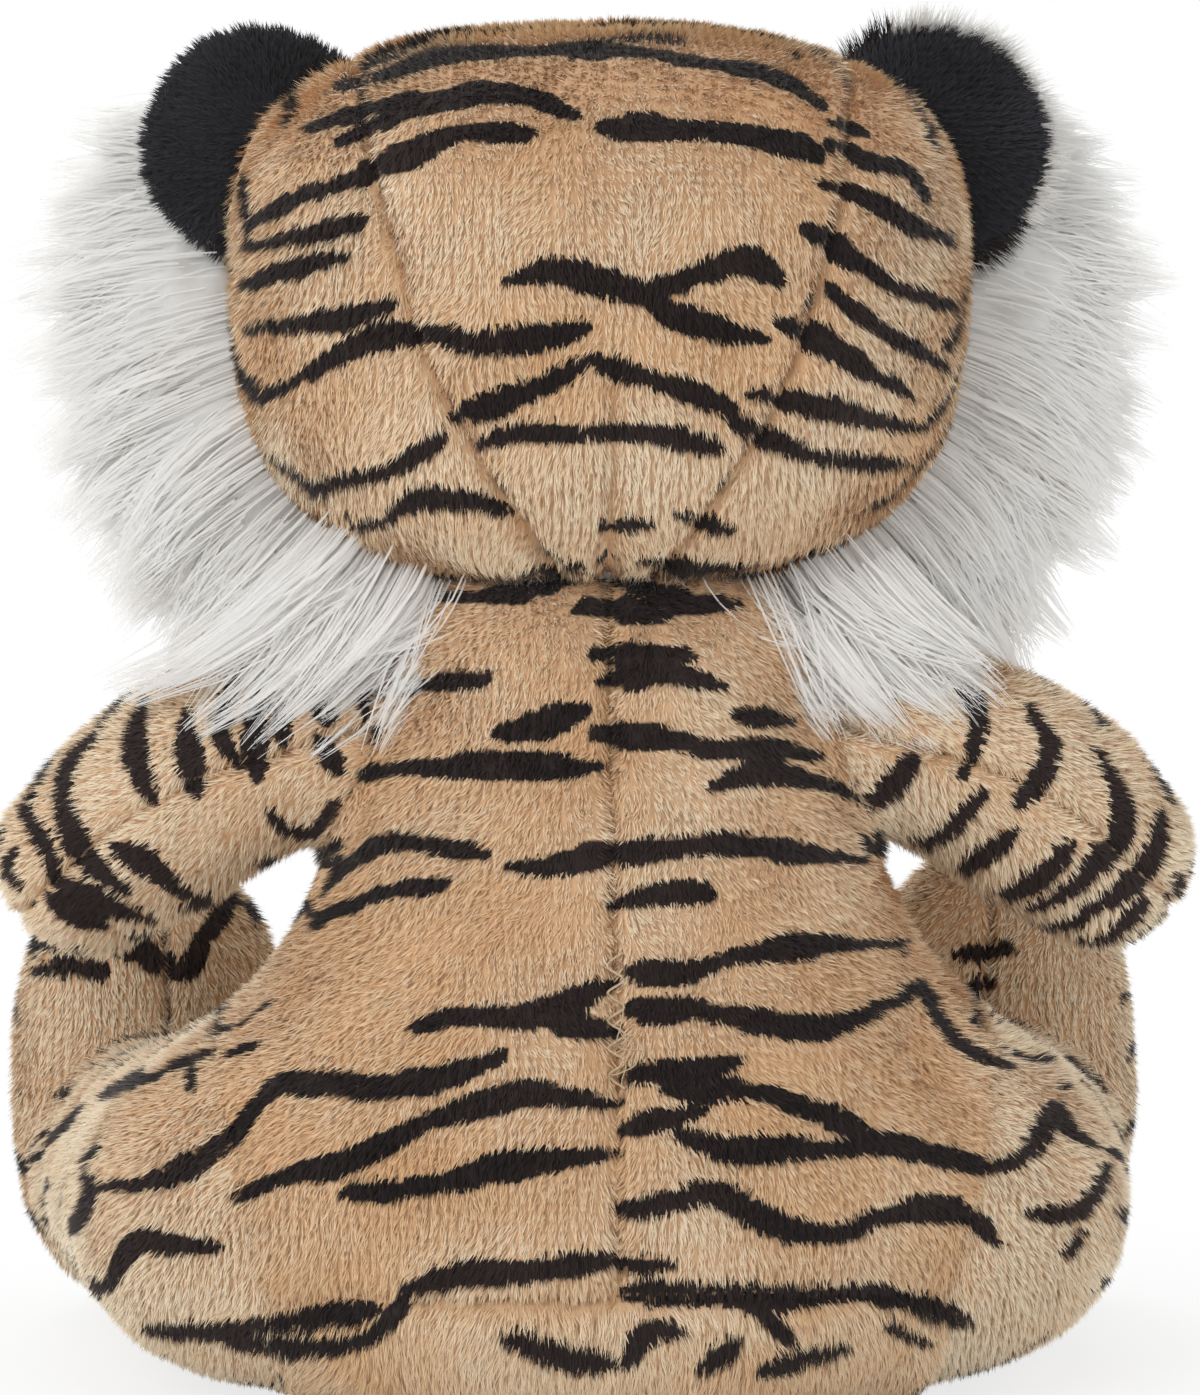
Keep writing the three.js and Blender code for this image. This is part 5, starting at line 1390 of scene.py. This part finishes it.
# Ears. Each has a black plush back and a white front, turned and sewn into the head along a slanting line.
# The front is hollowed like a shallow cup.
# Its third colour is the painted shade at the pile's roots.
black_plush = plush_material("black_plush", ear_shine, ear_black, srgb(12, 12, 14), stripe_dark, cream, 0.35)
ear_coat = {**tan_coat, "length": 2.5, "raised": 44, "tuft": 1.3, "per_mm2": 6.0, "swirl": 22}
grown_half = ear_half * [1.12, 1.0, 1.08, 1.08]  # of the stuffed cloth, against the piece's plain form
lining_coat = {**ear_coat, "raised": 32, "tuft": 1.4, "width": 0.42}
ear_fringe = {"left": (3.6, -0.9, 99.0), "right": (7.0, 1.0, -2.0)}  # its length, its way and where it starts
rolled_rim = 0.15
ear_cover = outside([head_room], 1.0)
lining_share = 0.965  # of the back's width, so that the black edge covers the seam
ear_cup = 5.0
turn = np.linspace(0, whole_circle, 120)
rim = np.stack([np.sin(turn), 0 * turn, np.cos(turn)], -1)
for number, (name, sign) in enumerate(sides.items()):
    root, out_way = ear_root[name], ear_axes[name][2]
    for step, (ply, way) in enumerate({"back": 1.0, "front": -1.0}.items()):
        pole = np.tile([0, way, 0], (len(turn), 1))
        grid = ball_cloth(rim, pole, 34, root, grown_half, ear_round, ear_up, ear_axes[name])
        points, triangles, places, ditch = sewn(grid, ["left"], root, cap=0.6)
        if ply == "front":
            points = root + (points - root) * [lining_share, 1, lining_share]
            spot = (points - root) @ ear_axes[name].T / (grown_half - pile_depth)[:3]
            hollow = np.clip(1 - spot[:, 0] ** 2 - spot[:, 2] ** 2, 0, 1) ** 2
            points[:, 1] += ear_cup * hollow
        length, comb_way, fringe_from = ear_fringe[name]

        def rolled(p, n):
            """1 where the black back is rolled over the front's edge, which is all round but for the fringe."""
            spot = (p - root) @ ear_axes[name].T / grown_half[:3]
            edge = np.hypot(spot[:, 0], spot[:, 2]) > 1 - rolled_rim
            return edge * (sign * (p[:, 0] - root[0]) + 0.7 * (p[:, 2] - root[2]) < fringe_from + 12) * 1.0

        if ply == "back":
            comb_way, ink, cloth = 1.0, nowhere, (ear_coat, "black_plush", black_plush)
        else:
            ink, cloth = rolled, ({**lining_coat, "length": length}, "cream_plush", white_plush)
        plush_piece(f"ear_{name}_{ply}", ("head", f"ear_{name}", root - out_way * 1, root + out_way * 8),
                    (points, triangles, places, ditch),
                    lambda p, n: ((p - root) * [1, 0, 1] + out_way * 6 + 5 * down) * comb_way,
                    ink, 101 + 2 * number + step, [], *cloth, weight=ear_cover)

# Ruffs. Long white pile on each cheek, sewn in a crescent along the face seam. It stands out from the
# head in locks, sags at its ends and falls over the shoulders at the bottom.
ruff_angles, ruff_turn = (-74.0, 23.0), 30.0
ruff_rear = [-74, -25, 0, 27], [-4, 0, 12, 17]  # how far forward its rear edge lies, by the angle
ruff_reach = [-74, -60, -45, -30, -15, 0, 14, 27], [97, 105, 108, 108, 108, 106, 103, 92]
reach_spread, reach_droop, reach_scatter = (0.86, 1.02), 5, 1.2
locks, shoulder_locks, strands_in_lock, strand_steps = 420, 60, 50, 5
strand_width, strand_bow, strand_roll, strand_taper = 0.34, 0.55, 0.45, 0.75
root_scatter, end_scatter = 3.2, 0.5  # in degrees round the head, and in millimetres
lock_closing = 0.36  # how much of its spread at the roots a lock keeps at its tip
lock_shorter, strand_shorter = 0.28, 0.16  # at most, as shares of the length
ruff_middle = -24.0
bed_radius, bed_half_width, bed_half_thickness, bed_drop = 71, 20, 9.5, 3
bed_share = np.array([0.45, 0.8, 1, 1, 1, 0.95, 0.8, 0.6])
bed_forward = [-62, -30, 14], [-10, -11, -21]


def long_strands(roots, ways, tips, draw):
    """Ribbons on quadratic curves: each starts along its own way and ends at its tip, and narrows to a point."""
    share = np.linspace(0, 1, strand_steps)[None, :, None]
    reach = np.linalg.norm(tips - roots, axis=1, keepdims=True)
    bent = roots + ways * reach * strand_bow
    line = (roots[:, None] * (1 - share) ** 2 + 2 * share * (1 - share) * bent[:, None] + share ** 2 * tips[:, None])
    ahead = unit(np.gradient(line, axis=1))
    side = unit(np.cross(ahead, backwards))
    roll = draw.uniform(-strand_roll, strand_roll, (len(roots), 1, 1))
    side = turned(side, np.cross(ahead, side), roll)
    rear = np.where(tips[:, 1] > head_centre[1] + ruff_middle, 1.0, -1.0)[:, None, None]
    side = side * rear
    half = strand_width / 2 * draw.uniform(0.7, 1.2, (len(roots), 1, 1)) * (1 - strand_taper * share ** 5)
    own = np.cross(side, ahead)
    body = backwards * rear + 0.1 * unit(line - head_centre) + 0.7 * up
    lit = unit(own * own_light / 2 + unit(body) * (1 - own_light / 2))
    return np.concatenate([line - side * half, line + side * half], 1), np.concatenate([lit, lit], 1)


def ruff_strands(sign, draw):
    """The locks' strands: the roots spread over a lock's patch of the cheek and gather at its tip. The lowest
    locks fall behind the shoulder."""
    angle = draw.uniform(*ruff_angles, locks)
    rearmost = np.interp(angle, *ruff_rear)
    ahead = rearmost + (ruff_turn - rearmost) * draw.uniform(0, 1, locks)
    reach = np.interp(angle, *ruff_reach) * draw.uniform(*reach_spread, locks)
    tip_angle = np.radians(angle - reach_droop + draw.normal(size=locks) * reach_scatter)
    depth = -head_half[1] * np.sin(np.radians(ahead)) * 0.75 + draw.uniform(-2.5, 2, locks)
    depth = depth - np.interp(angle, [-20, 8], [0, 6])
    tips = head_centre + np.stack([sign * reach * np.cos(tip_angle), depth, reach * np.sin(tip_angle)], 1)
    low = draw.uniform(0, 1, shoulder_locks)
    low_angle, low_ahead = -46 - 28 * low, draw.uniform(-14, 10, shoulder_locks)
    spread = draw.uniform(0, 1, shoulder_locks) ** 0.7
    low_tips = np.stack([sign * (76 - 50 * low + draw.normal(size=shoulder_locks) * 5), 10 + 12 * low,
                         142 - 20 * spread - 6 * np.sin(3 * low)], 1)
    angle, ahead = np.concatenate([angle, low_angle]), np.concatenate([ahead, low_ahead])
    tips = np.concatenate([tips, low_tips])
    which = np.repeat(np.arange(len(angle)), strands_in_lock)
    a, b = (np.radians(turn[which] + draw.normal(size=len(which)) * root_scatter) for turn in (angle, ahead))
    ways = np.stack([sign * np.cos(a) * np.cos(b), -np.sin(b), np.sin(a) * np.cos(b)], 1)
    roots = head_centre + ways / ball_size(ways, head_half - 3, head_round, head_up)[:, None]
    start = draw.uniform(0, 0.4, len(angle)) * (draw.uniform(0, 1, len(angle)) < 0.6)
    heart = np.stack([np.bincount(which, roots[:, k]) for k in range(3)], 1) / strands_in_lock
    spread = (roots - heart[which]) * lock_closing
    roots = roots + (tips[which] + spread - roots) * start[which, None]
    behind = (which >= locks)[:, None]
    ways = unit(ways * [1, 0.8, 1] + np.where(behind, [0, 0.9, -0.25], [0, 0, -0.08]))
    shorter = 1 - lock_shorter * draw.uniform(0, 1, len(angle))[which] ** 1.4
    shorter = (shorter - strand_shorter * draw.uniform(0, 1, len(which)) ** 3)[:, None]
    ends = roots + (tips[which] + spread - roots) * shorter + draw.normal(size=(len(which), 3)) * end_scatter
    lock_shade = draw.uniform(0.25, 0.75, len(angle))[which]
    return *long_strands(roots, ways, ends, draw), lock_shade + 0.15 * draw.normal(size=len(which))


# Its third colour is the faint painted shade at the strands' roots.
long_pile = plush_material("white_long_pile", srgb(255, 255, 254), srgb(251, 250, 248), srgb(250, 249, 247),
                           stripe_dark, cream, 0.15, 0.6, 0.45)
bed_angles = np.radians(np.linspace(14, -62, 8))
for number, (name, sign) in enumerate(sides.items()):
    draw = np.random.default_rng(111 + number)
    strands, lit, shade = ruff_strands(sign, draw)
    count, each = len(strands), 2 * strand_steps
    low = np.arange(strand_steps - 1)
    square = np.stack([low, low + strand_steps, low + strand_steps + 1, low + 1], 1)
    ribbon = np.concatenate([square[:, [0, 1, 2]], square[:, [0, 2, 3]]])
    faces = (each * np.arange(count)[:, None, None] + ribbon).reshape(-1, 3)
    wide = int(math.ceil(math.sqrt(count)))
    cell = np.stack([np.arange(count) % wide, np.arange(count) // wide], 1)[:, None]
    share = np.tile(np.linspace(0, 1, strand_steps), 2)
    spot = np.stack([np.repeat([0.1, 0.9], strand_steps), 0.05 + 0.9 * share], 1)
    strand_places = 0.01 + 0.98 * (cell + spot) / wide
    places = strand_places.reshape(-1, 2)[faces]
    forward = np.interp(np.degrees(bed_angles), *bed_forward)
    middle = head_centre + np.stack([sign * bed_radius * np.cos(bed_angles), forward,
                                     bed_radius * np.sin(bed_angles) - bed_drop], 1)
    stations = np.concatenate([middle, bed_half_width * bed_share[:, None],
                               bed_half_thickness * np.sqrt(bed_share)[:, None]], 1)
    bed = limb_grid(stations, (0.5, 0.5), 40, 50, inset=0.0, level=backwards)
    bed_points, bed_faces, bed_places = stitched(bed, middle[3])
    bed_points = bed_points + normals_of(bed_points, bed_faces) * (1.2 * ripple(bed_points, 9, 115))[:, None]
    both = [(strands.reshape(-1, 3), bed_points), (faces, bed_faces + count * each), (places, bed_places)]
    lit = np.concatenate([lit.reshape(-1, 3), normals_of(bed_points, bed_faces)])
    made = mesh_piece(f"ruff_{name}_long_pile", *(np.concatenate(pair) for pair in both), long_pile, lit)
    pile = np.stack([np.zeros((count, each)), np.tile(0.35 + 0.65 * share, (count, 1)),
                     np.repeat(shade[:, None], each, 1)], -1).reshape(-1, 3)
    pile = np.concatenate([pile, np.tile([0, 0.5, 0.5], (len(bed_points), 1))])
    carry(made.data, "pile", pile)
    declare(made, "head", [f"ruff_{name}"], "white_long_pile")

# Closing stitches. One light thread zigzags across the back seam where the toy was filled and closed; its
# loose ends stand out of the pile.
closing_start, closing_stitches, closing_pitch = 63.84, 5, 4.5
closing_half, closing_radius, closing_sunk, loose_radius = 1.4, 0.24, 1.8, 0.12
turns = np.arange(2 * closing_stitches + 1)
heights = closing_start + turns * closing_pitch / 2
width, depth, lean = torso_section(heights)
corners = np.stack([closing_half * np.where(turns % 2, 1, -1), lean + depth - closing_sunk, heights], 1)
zigzag = spline(corners, np.linspace(0, 1, 160))
draw = np.random.default_rng(121)
ends = []
for n in range(7):
    base = corners[n % 4 + 1] + draw.normal(size=3) * [1.0, 0.3, 0.8]
    way = np.array([draw.normal() * 3.5, 1.6 + abs(draw.normal()), draw.normal() * 3.0])
    curl = np.array([base, base + way * [0.2, 1.2, 0.3], base + way, base + way * [1.2, 0.7, 1.6]])
    ends.append(spline(curl, np.linspace(0, 1, 14)))
light_thread = woven_material("light_thread", srgb(226, 204, 172), srgb(178, 150, 116), 0.4, 0.6)
thread_piece("closing_thread_stitch", [zigzag], closing_radius, light_thread, "torso", ["closing_thread"],
             "light_thread")
thread_piece("closing_thread_ends", ends, loose_radius, light_thread, "torso", [], "light_thread", twist=0.0)
